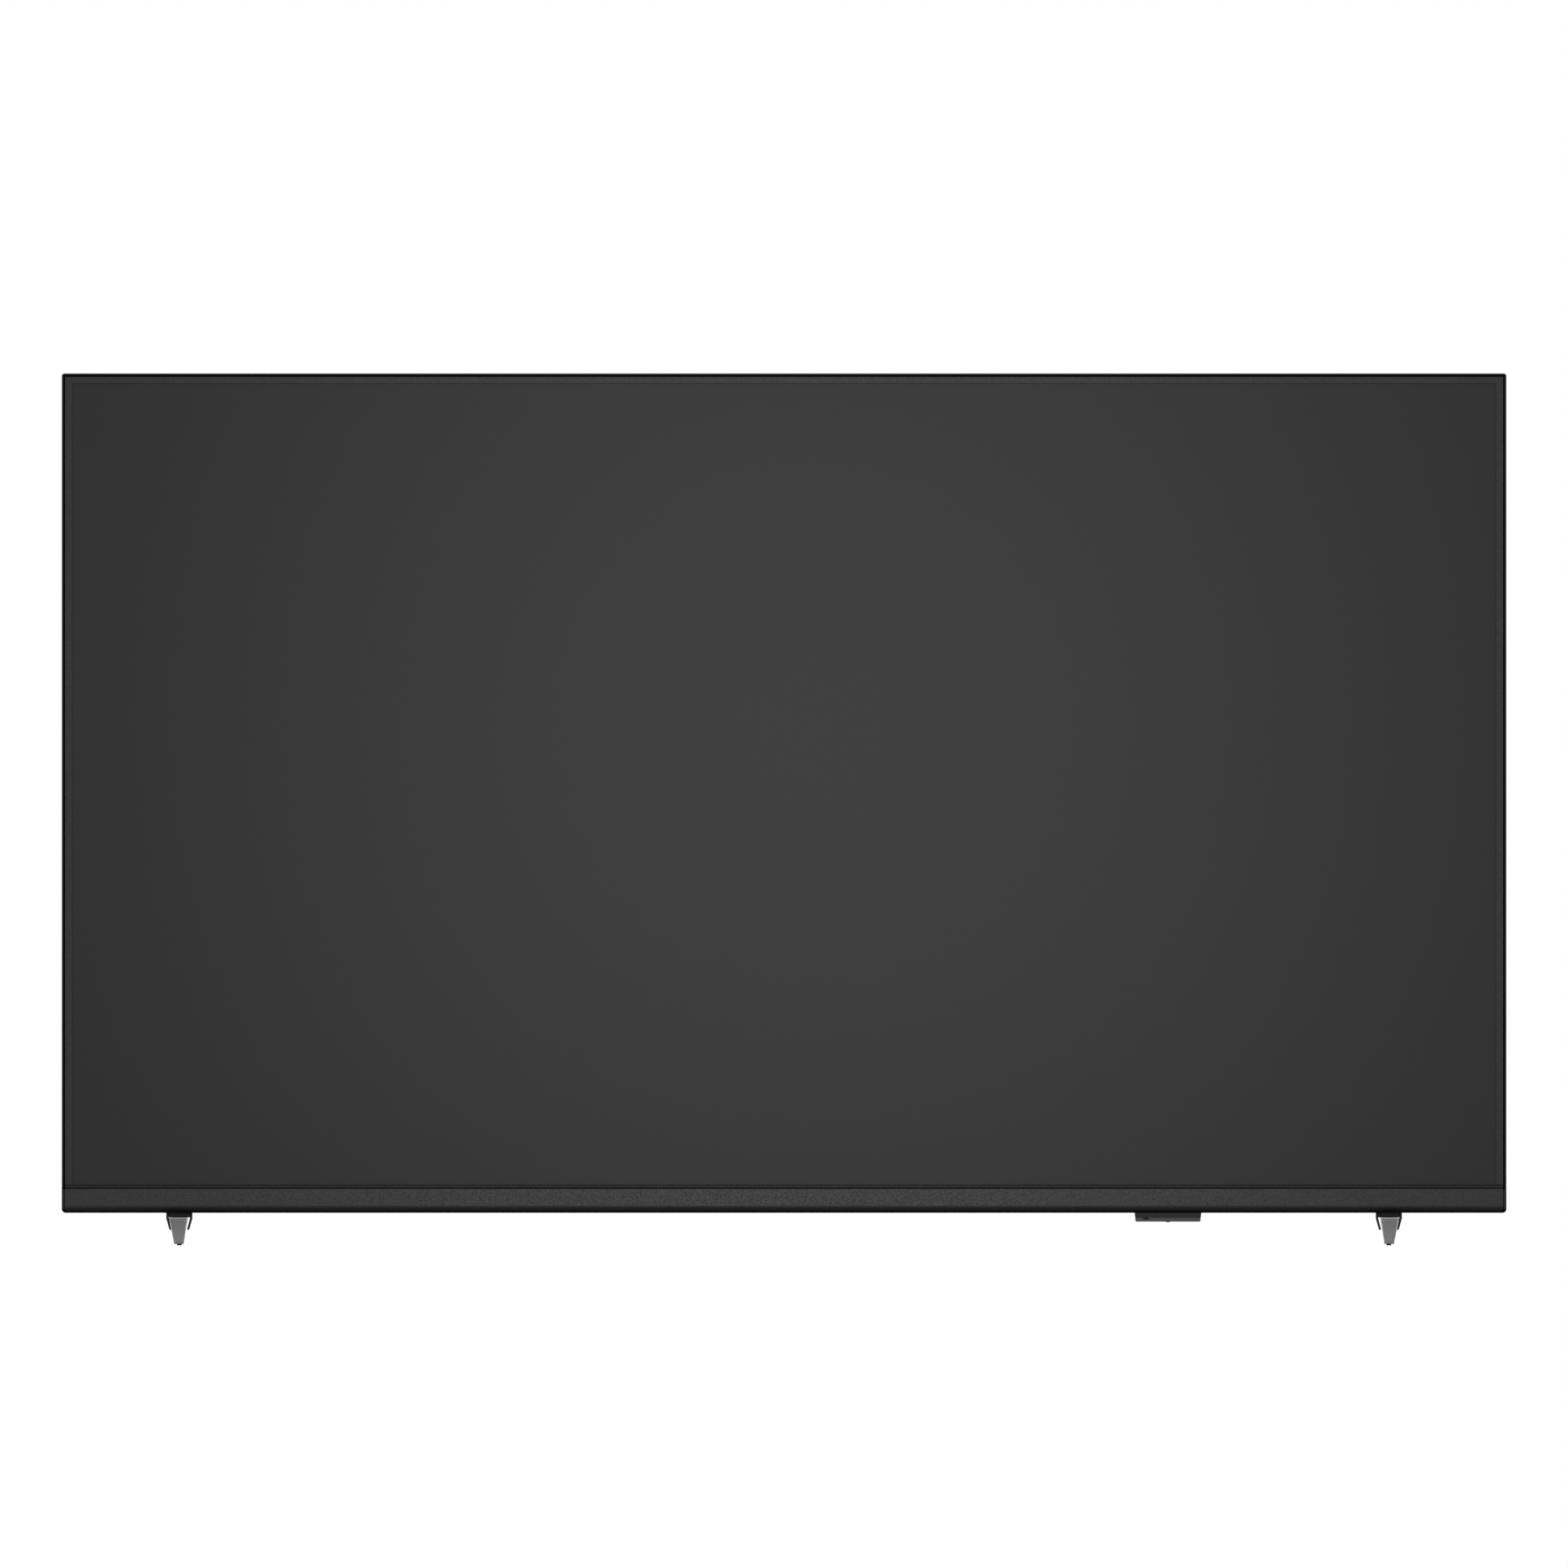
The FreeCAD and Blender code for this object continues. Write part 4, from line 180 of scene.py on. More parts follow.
# Legs
PAD_THICK = 1.4 * MM
LEG_TOP = 27.8 * MM
LEG_TOP_HALF = 9.65 * MM
LEG_LOW_HALF = 4.75 * MM
LEG_SHIFT = 0.33 * MM
LEG_SKEW = 0.026
LEG_NOSE = 1.8 * MM
LEG_LEAST = 1.2 * MM
LEG_EDGE_TOE = 1.6 * MM
LEG_LOW_ROUND = 0.3 * MM
# Rise of the underside and narrowing of each side, per length eased at the toe
LEG_TOE_RISE = 0.1
LEG_TOE_NARROW = 0.4
# Largest radius of the upper edges over the leg's height there
LEG_ROUND_SHARE = 0.45
# The top's fall: a slope, and a curve in 1/m
LEG_FALL = 0.1278
LEG_CURVE = 0.30
# The underside's height at distances from the middle, both in millimetres
LEG_ARCH_Y = (0, 10, 78, 128, 160)
LEG_ARCH_Z = (15, 15, 9.6, 1.4, 1.4)
LEG_ARCH_BLUR = 9 * MM
CREST_FRONT = 12.5 * MM
CREST_BACK = 12.48 * MM
CREST_TALL = 0.8 * MM
# The upper edges' radius grows over the first length, and shrinks to the toe's over the other
BEVEL_START = 9 * MM
BEVEL_LEAST = 0.1
BEVEL_RUN = 100 * MM
TENON_HALF = 8 * MM
TENON_DEEP = 5 * MM
TENON_ROUND = 0.8 * MM

# Necks, each with a slanting cheek at either side
CHEEK_THICK = 1.8 * MM
CHEEK_BEND_THICK = 2.6 * MM
CHEEK_TIP_THICK = 2.3 * MM
CHEEK_BEND = 27.0 * MM
CHEEK_TIP_HALF = 9.9 * MM
CHEEK_TOP = 32.58 * MM
CHEEK_EASE = 0.4 * MM
CHEEK_ROUNDS = np.array([0.6, 0.6, 2.5, 0.1, 0.1, 2.5]) * MM
NECK_HALF = 11.3 * MM
NECK_FRONT = -9.6 * MM
NECK_LOW = 27.95 * MM
NECK_ROUND = 0.6 * MM
NECK_FOOT = 1.2 * MM
CORE_SET_BACK = 1.6 * MM
CORE_RISE = 0.6 * MM
CORE_FOOT = 0.4 * MM

# Rear cover: an edge is rounded where both of its faces are wider than this
COVER_ROOM = 4 * MM

# Meshes: distances for merging points, and angles in degrees
MERGE_NEW = 1e-7
MERGE_FLAT = 1e-8
MERGE_SOLID = 2e-6
FLAT_TURN = 1
EDGE_TURN = 25
# Share of its radius that a corner keeps at least where a rim is rounded
LEAST_ROUND = 0.2

# Parts of a normal along Y and Z above which a face counts as upright or as looking down
UPRIGHT = 0.3
DOWNWARD = 0.5

# Noise: the range that is used, and a patch's size over a fleck's
NOISE_LOW, NOISE_HIGH = 0.3, 0.7
PATCH_SIZE = 14


# Sizes and colours that a user would change

class DisplaySizes(PropertyGroup):
    """Lengths of the dressed pieces, in metres."""

    edge_round: FloatProperty(
        name="Trim edge", description="Radius of the trim's front edges",
        default=0.00015, min=0.00005, max=0.0008, precision=5, unit="LENGTH")
    trim_top_round: FloatProperty(
        name="Top corners", description="Radius of the trim's upper corners",
        default=0.0027, min=0.001, max=0.006, precision=5, unit="LENGTH")
    trim_low_round: FloatProperty(
        name="Lower corners", description="Radius of the trim's lower corners",
        default=0.0037, min=0.001, max=0.006, precision=5, unit="LENGTH")
    chin_roll: FloatProperty(
        name="Chin roll", description="Radius on which the chin turns under",
        default=0.0075, min=0.002, max=0.008, precision=5, unit="LENGTH")
    leg_bevel: FloatProperty(
        name="Leg edge", description="Radius of the leg's upper edges beside the neck",
        default=0.0037, min=0.0005, max=0.005, precision=5, unit="LENGTH")
    cover_round: FloatProperty(
        name="Cover edge", description="Radius of the rear cover's edges",
        default=0.0016, min=0.0003, max=0.003, precision=5, unit="LENGTH")


class DisplayColours(PropertyGroup):
    """Main colours of the finishes, and the stage's light."""

    screen: FloatVectorProperty(
        name="Screen", description="Colour of the dark screen surface",
        default=(0.004, 0.004, 0.0043), size=3, min=0, max=1, subtype="COLOR")
    plastic: FloatVectorProperty(
        name="Plastic", description="Colour of the black mouldings",
        default=(0.0065, 0.0065, 0.0067), size=3, min=0, max=1, subtype="COLOR")
    leg: FloatVectorProperty(
        name="Leg", description="Colour of the silver-grey legs",
        default=(0.25, 0.25, 0.253), size=3, min=0, max=1, subtype="COLOR")
    floor: FloatVectorProperty(
        name="Floor", description="Colour of the studio floor",
        default=(0.9, 0.9, 0.9), size=3, min=0, max=1, subtype="COLOR")
    key_power: FloatProperty(
        name="Key light", description="Power of the soft light in front, in watts",
        default=12.9, min=0.0, max=500.0, unit="POWER")


# Surfaces worked out with arrays

def centre_x(low, high):
    """The middle between two corners along X."""
    return (low[0] + high[0]) / 2


def xyz(x, y, z):
    """Points from arrays of x, y and z, stretched to one shape."""
    return np.stack(np.broadcast_arrays(x, y, z), -1).astype(float)


def rounded_loop(points, radii, steps=5):
    """Closed outline with circular corners.

    Each corner P becomes an arc between T1 = P + e a and T2 = P + e b, where a and b point to its
    neighbours, e = r / tan(half angle), as the rational curve with middle weight sin(half angle).
    points is (..., corners, 2) and the result (..., corners * steps, 2).
    """
    points = np.asarray(points, float)
    radii = np.broadcast_to(np.asarray(radii, float), points.shape[:-1])
    back = np.roll(points, 1, -2) - points
    ahead = np.roll(points, -1, -2) - points
    back /= np.linalg.norm(back, axis=-1, keepdims=True)
    ahead /= np.linalg.norm(ahead, axis=-1, keepdims=True)
    half = np.arccos(np.clip((back * ahead).sum(-1), -1, 1)) / 2
    reach = (radii / np.tan(half))[..., None]
    weight = np.sin(half)[..., None, None]
    s = np.linspace(0, 1, steps)[:, None]
    start = (points + back * reach)[..., None, :]
    end = (points + ahead * reach)[..., None, :]
    corner = points[..., None, :]
    top = (1 - s) ** 2 * start + 2 * weight * s * (1 - s) * corner + s ** 2 * end
    under = (1 - s) ** 2 + 2 * weight * s * (1 - s) + s ** 2
    loop = top / under
    return loop.reshape(points.shape[:-2] + (-1, 2))


def box_loop(u, v, radius, steps=5):
    """Rounded rectangle between the pairs u and v, anticlockwise; both may be stacks of pairs."""
    u0, u1, v0, v1 = np.broadcast_arrays(*[np.asarray(x, float) for x in (*u, *v)])
    points = np.stack([np.stack([u0, v0], -1), np.stack([u1, v0], -1),
                       np.stack([u1, v1], -1), np.stack([u0, v1], -1)], -2)
    return rounded_loop(points, np.asarray(radius, float)[..., None], steps)


def box_rings(middle, half, front, back, heights, radius):
    """Rounded rectangles in X and Y, one at each height."""
    loops = box_loop((middle - half, middle + half), (front, back),
                     np.full(len(heights), radius), 6)
    return xyz(loops[..., 0], loops[..., 1], heights[:, None])


def loft(rings, closed=False):
    """Skin over rings of equal count: point (i, j) joins (i+1, j) and (i, j+1).

    An open loft is capped at both ends, and a closed one joins its last ring to its first.
    """
    rings = np.asarray(rings, float)
    rows, count = rings.shape[:2]
    index = np.arange(rows * count).reshape(rows, count)
    along = np.roll(index, -1, 0) if closed else index[1:]
    near = index if closed else index[:-1]
    quads = np.stack([near, np.roll(near, -1, 1), np.roll(along, -1, 1), along], -1)
    faces = quads.reshape(-1, 4).tolist()
    if not closed:
        faces += [index[0][::-1].tolist(), index[-1].tolist()]
    return rings.reshape(-1, 3), faces


def shrunk(points, inset):
    """Corners of an anticlockwise outline moved inward: by inset (n1 + n2) / (1 + n1 . n2)."""
    points = np.asarray(points, float)
    along = np.roll(points, -1, 0) - points
    along /= np.linalg.norm(along, axis=1, keepdims=True)
    normal = np.stack([-along[:, 1], along[:, 0]], -1)
    before = np.roll(normal, 1, 0)
    return points + inset * (before + normal) / (1 + (before * normal).sum(1, keepdims=True))


def quarter(radius, steps=5):
    """Depth r (1 - cos t) and inset r (1 - sin t) of a quarter round, t from 0 to 90 degrees."""
    turn = np.linspace(0, pi / 2, steps)
    return radius * (1 - np.cos(turn)), radius * (1 - np.sin(turn))


def plate_y(points_xz, radii, front, back, edge, steps=5):
    """A plate with its outline in X and Z, its front and rear rims rounded by quarter circles."""
    depth, inset = quarter(edge)
    stations = np.concatenate([front + depth, (back - depth)[::-1]])
    insets = np.concatenate([inset, inset[::-1]])
    radii = np.asarray(radii, float)
    loops = np.stack([
        rounded_loop(shrunk(points_xz, step), np.maximum(radii - step, radii * LEAST_ROUND), steps)
        for step in insets])
    return loft(xyz(loops[..., 0], stations[:, None], loops[..., 1]))


def post_z(middle, half, front, back, low, high, radius, edge):
    """An upright block with rounded corners, and its foot rounded under by a quarter circle."""
    rise, inset = quarter(edge)
    heights = np.concatenate([low + rise, [high]])
    inset = np.concatenate([inset, [0.0]])
    return loft(box_rings(middle, half - inset, front + inset, back - inset, heights, radius))


def extrude_x(loop_yz, stations):
    """A closed outline in Y and Z carried along X."""
    loop_yz = np.asarray(loop_yz, float)
    return loft(xyz(np.asarray(stations, float)[:, None], loop_yz[:, 0], loop_yz[:, 1]))


def turned(profile, middle, segments=64):
    """A surface of revolution about Z.

    The profile's rows are radius and height, from the lower pole upward. Each becomes a ring with
    x = middle + r cos a and y = middle + r sin a.
    """
    radius, height = np.asarray(profile, float).T[..., None]
    angle = np.linspace(0, 2 * pi, segments, endpoint=False)
    return loft(xyz(middle[0] + radius * np.cos(angle), middle[1] + radius * np.sin(angle),
                    height))


# Objects

def piece(name, shells, slot, replaced, body=BODY, sharp=30, look=None):
    """One object from closed shells: doubles merged, faces outward, smooth up to an angle."""
    verts, faces, start = [], [], 0
    for points, polygons in shells:
        verts += points.tolist()
        faces += [[index + start for index in polygon] for polygon in polygons]
        start += len(points)
    mesh = bpy.data.meshes.new(name)
    mesh.from_pydata(verts, [], faces)
    work = bmesh.new()
    work.from_mesh(mesh)
    bmesh.ops.remove_doubles(work, verts=work.verts, dist=MERGE_NEW)
    bmesh.ops.dissolve_degenerate(work, edges=work.edges, dist=MERGE_FLAT)
    bmesh.ops.recalc_face_normals(work, faces=work.faces)
    work.to_mesh(mesh)
    work.free()
    return evened(placed(name, mesh, slot, replaced, body, sharp, look))


def placed(name, mesh, slot, replaced, body, sharp, look=None):
    """An object of a finished mesh, with its finish, its body and what it replaces; the slot names
    the finish unless a look is given.
    """
    mesh.shade_smooth()
    mesh.set_sharp_from_angle(angle=radians(sharp))
    item = bpy.data.objects.new(name, mesh)
    bpy.context.scene.collection.objects.link(item)
    mesh.materials.clear()
    mesh.materials.append(finish(look or slot))
    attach(item, body)
    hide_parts(*replaced)
    return item


def evened(item):
    """Normals weighted by the faces' areas: a flat face beside a small round stays flat."""
    even = item.modifiers.new("even", "WEIGHTED_NORMAL")
    even.mode = "FACE_AREA"
    even.keep_sharp = True
    return item


def banded(item, finishes, measure):
    """Further finishes on faces, numbered by measure from the faces' centres and normals."""
    mesh = item.data
    for name in finishes:
        mesh.materials.append(finish(name))
    centres = np.empty(len(mesh.polygons) * 3)
    normals = np.empty(len(mesh.polygons) * 3)
    mesh.polygons.foreach_get("center", centres)
    mesh.polygons.foreach_get("normal", normals)
    numbers = measure(centres.reshape(-1, 3), normals.reshape(-1, 3))
    mesh.polygons.foreach_set("material_index", np.asarray(numbers, np.int32))


def softened(node, width, segments=2, body=BODY, sharp=32, room=0.0):
    """A sub-part with its edges rounded: coplanar faces are merged, then edges get a bevel.

    An edge is rounded if it turns by more than EDGE_TURN and if the area of each face beside it,
    over that face's longest edge, is more than room.
    """
    mesh = NODES[node].data.copy()
    work = bmesh.new()
    work.from_mesh(mesh)
    bmesh.ops.remove_doubles(work, verts=work.verts, dist=MERGE_SOLID)
    bmesh.ops.dissolve_limit(work, angle_limit=radians(FLAT_TURN), verts=work.verts,
                             edges=work.edges)
    weights = work.edges.layers.float.new("bevel_weight_edge")
    broad = {face for face in work.faces
             if face.calc_area() > room * max(edge.calc_length() for edge in face.edges)}
    for edge in work.edges:
        if edge.calc_face_angle(0) > radians(EDGE_TURN) and broad.issuperset(edge.link_faces):
            edge[weights] = 1
    work.to_mesh(mesh)
    work.free()
    item = placed(node + "_soft", mesh, SLOT_OF[node], [node], body, sharp)
    bevel = item.modifiers.new("round", "BEVEL")
    bevel.limit_method = "WEIGHT"
    bevel.width = width
    bevel.segments = segments
    bevel.use_clamp_overlap = room == 0
    bevel.miter_outer = "MITER_ARC"
    return evened(item)


# Finishes

class Surface(NamedTuple):
    """One finish; a colour given as a word is one of DisplayColours."""

    colour: object
    rough: float
    spec: float  # specular level
    grain: float  # size of a fleck, in metres
    depth: float  # height of the bump, in metres
    mottle: float  # how far patches change the colour
    fleck: float  # how far flecks change it
    metal: float = 0.0
    stretch: tuple = (1, 1, 1)
    uneven: float = 0.07  # how far flecks change the roughness
    # The last field paints light: a gain on the colour where the part lies in the shade of other
    # parts.
    root: tuple = ()  # near and far distance, in metres, and the gain up to the near one


FINISHES = {
    # slot: colour, rough, spec, grain, depth, mottle and fleck, then what differs from usual
    "screen_surface": Surface("screen", 0.38, 0.235, 0.0006, 2e-06, 0.12, 0.06),
    "strip_black": Surface((0.009, 0.009, 0.0092), 0.38, 0.255, 0.002, 3e-05, 0.3, 0.6,
        uneven=0.16),
    "trim_black": Surface((0.01, 0.01, 0.0103), 0.4, 0.14, 0.0006, 1e-05, 0.15, 0.2),
    "chin_black": Surface("plastic", 0.375, 0.3, 0.0019, 4e-05, 0.15, 0.9, uneven=0.3),
    # Painted shade: faces that look down get a near-matte finish so they read dark.
    "chin_under": Surface((0.0075, 0.0075, 0.0077), 0.6, 0.01, 0.0013, 4e-05, 0.3, 0.3),
    # Painted shadow: a dark finish for the seam under the low strip.
    "seam_black": Surface((0.008, 0.008, 0.0082), 0.5, 0.09, 0.0011, 4e-05, 0.3, 0.4),
    # Painted shadow: a less glossy screen finish for the line at the border's inner edge.
    "cell_edge": Surface((0.004, 0.004, 0.0042), 0.4, 0.19, 0.0006, 2e-06, 0.1, 0.05),
    "leg_edge": Surface((0.244, 0.244, 0.246), 0.3, 0.5, 0.0006, 4e-06, 0.06, 0.08, metal=1.0),
    # Painted shade: a darker finish on the toe, which faces the front light.
    "leg_toe": Surface((0.165, 0.165, 0.168), 0.45, 0.2, 0.0006, 8e-06, 0.08, 0.14),
    "strip_low": Surface((0.008, 0.008, 0.0082), 0.4, 0.17, 0.002, 3e-05, 0.3, 0.6, uneven=0.12),
    "strip_rim": Surface((0.0065, 0.0065, 0.0067), 0.4, 0.125, 0.002, 2e-05, 0.2, 0.4, uneven=0.1),
    "sensor_case": Surface((0.007, 0.007, 0.0073), 0.42, 0.24, 0.0007, 2e-05, 0.2, 0.2),
    # Painted light: a lighter, glossier finish for the box's lower band, which tilts up toward the
    # light.
    "sensor_lens": Surface((0.016, 0.016, 0.0165), 0.36, 0.31, 0.0007, 1e-05, 0.1, 0.15),
    "cover_black": Surface((0.018, 0.018, 0.0185), 0.5, 0.3, 0.001, 8e-05, 0.25, 0.35),
    # Painted light: the leg's colour is raised up to 3.8 times under the display, where the chin
    # shades it.
    "leg_silver": Surface("leg", 0.32, 0.5, 0.0006, 8e-06, 0.08, 0.14, root=(0.018, 0.032, 3.8)),
    "neck_black": Surface((0.009, 0.009, 0.0092), 0.42, 0.2, 0.0007, 3e-05, 0.2, 0.3),
    # Painted shade: near-black and matte, for surfaces deep in gaps.
    "gap_black": Surface((0.004, 0.004, 0.004), 0.9, 0.02, 0.0008, 5e-05, 0.2, 0.3),
    "pad_rubber": Surface((0.004, 0.004, 0.004), 0.8, 0.05, 0.0006, 6e-05, 0.3, 0.3),
    "sheet_steel": Surface((0.45, 0.46, 0.47), 0.38, 0.5, 0.004, 3e-05, 0.12, 0.1,
        metal=1.0, stretch=(1, 6, 6)),
    "board_green": Surface((0.012, 0.075, 0.035), 0.4, 0.5, 0.003, 2e-05, 0.2, 0.35),
    "chip_black": Surface((0.012, 0.012, 0.013), 0.55, 0.4, 0.0005, 2e-05, 0.2, 0.25),
    "fin_aluminium": Surface((0.55, 0.56, 0.57), 0.36, 0.5, 0.002, 2e-05, 0.1, 0.12,
        metal=1.0, stretch=(8, 8, 1)),
    "contact_metal": Surface((0.62, 0.6, 0.55), 0.28, 0.5, 0.001, 1e-05, 0.15, 0.1, metal=1.0),
    "socket_black": Surface((0.012, 0.012, 0.0125), 0.5, 0.4, 0.0007, 3e-05, 0.2, 0.3),
    "tray_white": Surface((0.82, 0.82, 0.81), 0.6, 0.4, 0.004, 4e-05, 0.05, 0.04),
    "diffuser_white": Surface((0.78, 0.79, 0.8), 0.5, 0.45, 0.002, 2e-05, 0.04, 0.03),
    "gasket_foam": Surface((0.02, 0.02, 0.021), 0.9, 0.2, 0.0009, 0.0002, 0.4, 0.5),
    "screw_black": Surface((0.03, 0.03, 0.032), 0.4, 0.5, 0.0006, 2e-05, 0.2, 0.25, metal=0.6),
    "wire_black": Surface((0.015, 0.015, 0.016), 0.5, 0.4, 0.001, 3e-05, 0.2, 0.2),
    "ribbon_white": Surface((0.7, 0.7, 0.68), 0.45, 0.45, 0.001, 4e-05, 0.1, 0.2,
        stretch=(1, 0.05, 0.05)),
    "window_dark": Surface((0.003, 0.003, 0.0031), 0.3, 0.04, 0.0008, 3e-06, 0.1, 0.1),
    "rocker_black": Surface((0.011, 0.011, 0.0115), 0.42, 0.45, 0.0006, 2e-05, 0.2, 0.25),
    "capacitor_sleeve": Surface((0.02, 0.03, 0.07), 0.4, 0.5, 0.002, 2e-05, 0.15, 0.15),
}
# Painted shade: copies of the chin's finish with less and less specular for the rolled edge.
FINISHES.update({"chin_turn_%d" % step: FINISHES["chin_black"]._replace(spec=level)
                 for step, level in enumerate(TURN_LEVELS)})


def add(tree, kind, sockets=None, **settings):
    """A shader node with its settings, its sockets filled with values or linked to sockets."""
    made = tree.nodes.new(kind)
    for name, value in settings.items():
        setattr(made, name, value)
    for name, value in (sockets or {}).items():
        if isinstance(value, bpy.types.NodeSocket):
            tree.links.new(value, made.inputs[name])
        else:
            made.inputs[name].default_value = value
    return made


def worked(tree, operation, first, second):
    """The result of a sum on two values or sockets."""
    return add(tree, "ShaderNodeMath", {0: first, 1: second}, operation=operation).outputs[0]


def noise(tree, place, size, detail, rough=0.5):
    """Noise with patches of about this size, in metres."""
    return add(tree, "ShaderNodeTexNoise", {
        "Vector": place, "Scale": 1 / size, "Detail": detail, "Roughness": rough}).outputs["Fac"]


def spread(tree, value, low, high):
    """A noise's used range stretched over another range."""
    return add(tree, "ShaderNodeMapRange", {
        "Value": value, "From Min": NOISE_LOW, "From Max": NOISE_HIGH, "To Min": low,
        "To Max": high}).outputs[0]


def faded(tree, value, near, far, at_near, at_far):
    """A smooth change from one value to another between two distances."""
    return add(tree, "ShaderNodeMapRange", {
        "Value": value, "From Min": near, "From Max": far, "To Min": at_near, "To Max": at_far},
        interpolation_type="SMOOTHSTEP").outputs[0]


def ray_share(tree, *kinds):
    """One for rays of these kinds and nought for others."""
    path = add(tree, "ShaderNodeLightPath")
    share = path.outputs[kinds[0]]
    for kind in kinds[1:]:
        share = worked(tree, "MAXIMUM", share, path.outputs[kind])
    return share


def finish(slot):
    """The material of a slot: flecked and mottled colour, uneven roughness, a fine bump and, where
    listed, painted light in the part's shade.
    """
    name = slot + "_finish"
    if name in bpy.data.materials:
        return bpy.data.materials[name]
    facts = FINISHES[slot]
    colour = facts.colour
    if isinstance(colour, str):
        colour = tuple(getattr(bpy.context.scene.display_colours, colour))
    made = bpy.data.materials.new(name)
    made.use_nodes = True
    tree = made.node_tree
    shader = tree.nodes["Principled BSDF"]
    place = add(tree, "ShaderNodeTexCoord").outputs["Object"]
    scaled = add(tree, "ShaderNodeMapping", {
        "Vector": place, "Scale": facts.stretch}).outputs["Vector"]
    fine = noise(tree, scaled, facts.grain, detail=3.0, rough=0.6)
    broad = noise(tree, scaled, facts.grain * PATCH_SIZE, detail=2.0)
    fleck = spread(tree, fine, 1 - facts.fleck, 1 + facts.fleck)
    patch = spread(tree, broad, 1 - facts.mottle / 2, 1 + facts.mottle / 2)
    shade = worked(tree, "MULTIPLY", fleck, patch)
    # Painted light: the colour is raised where the part lies in shade.
    if facts.root:
        shade = worked(tree, "MULTIPLY", shade, painted_light_gain(tree, place, *facts.root))
    tone = add(tree, "ShaderNodeMix", {0: 1.0, 6: colour + (1.0,), 7: shade},
               data_type="RGBA", blend_type="MULTIPLY")
    tree.links.new(tone.outputs[2], shader.inputs["Base Color"])
    rough, change = facts.rough, facts.uneven
    uneven = spread(tree, fine, rough * (1 + change), rough * (1 - change))
    tree.links.new(uneven, shader.inputs["Roughness"])
    bump = add(tree, "ShaderNodeBump", {
        "Strength": 1.0, "Distance": facts.depth, "Height": fine})
    tree.links.new(bump.outputs["Normal"], shader.inputs["Normal"])
    shader.inputs["Metallic"].default_value = facts.metal
    shader.inputs["Specular IOR Level"].default_value = facts.spec
    return made


def painted_light_gain(tree, place, near, far, gain):
    """Painted light: a gain on the leg's colour under the display, where the chin shades it,
    fading toward the toe, four times as fast behind it.
    """
    depth = add(tree, "ShaderNodeSeparateXYZ", {0: place}).outputs["Y"]
    away = worked(tree, "MAXIMUM", worked(tree, "MULTIPLY", depth, -1.0),
                  worked(tree, "MULTIPLY", depth, 4.0))
    return faded(tree, away, near, far, gain, 1.0)


# Operators

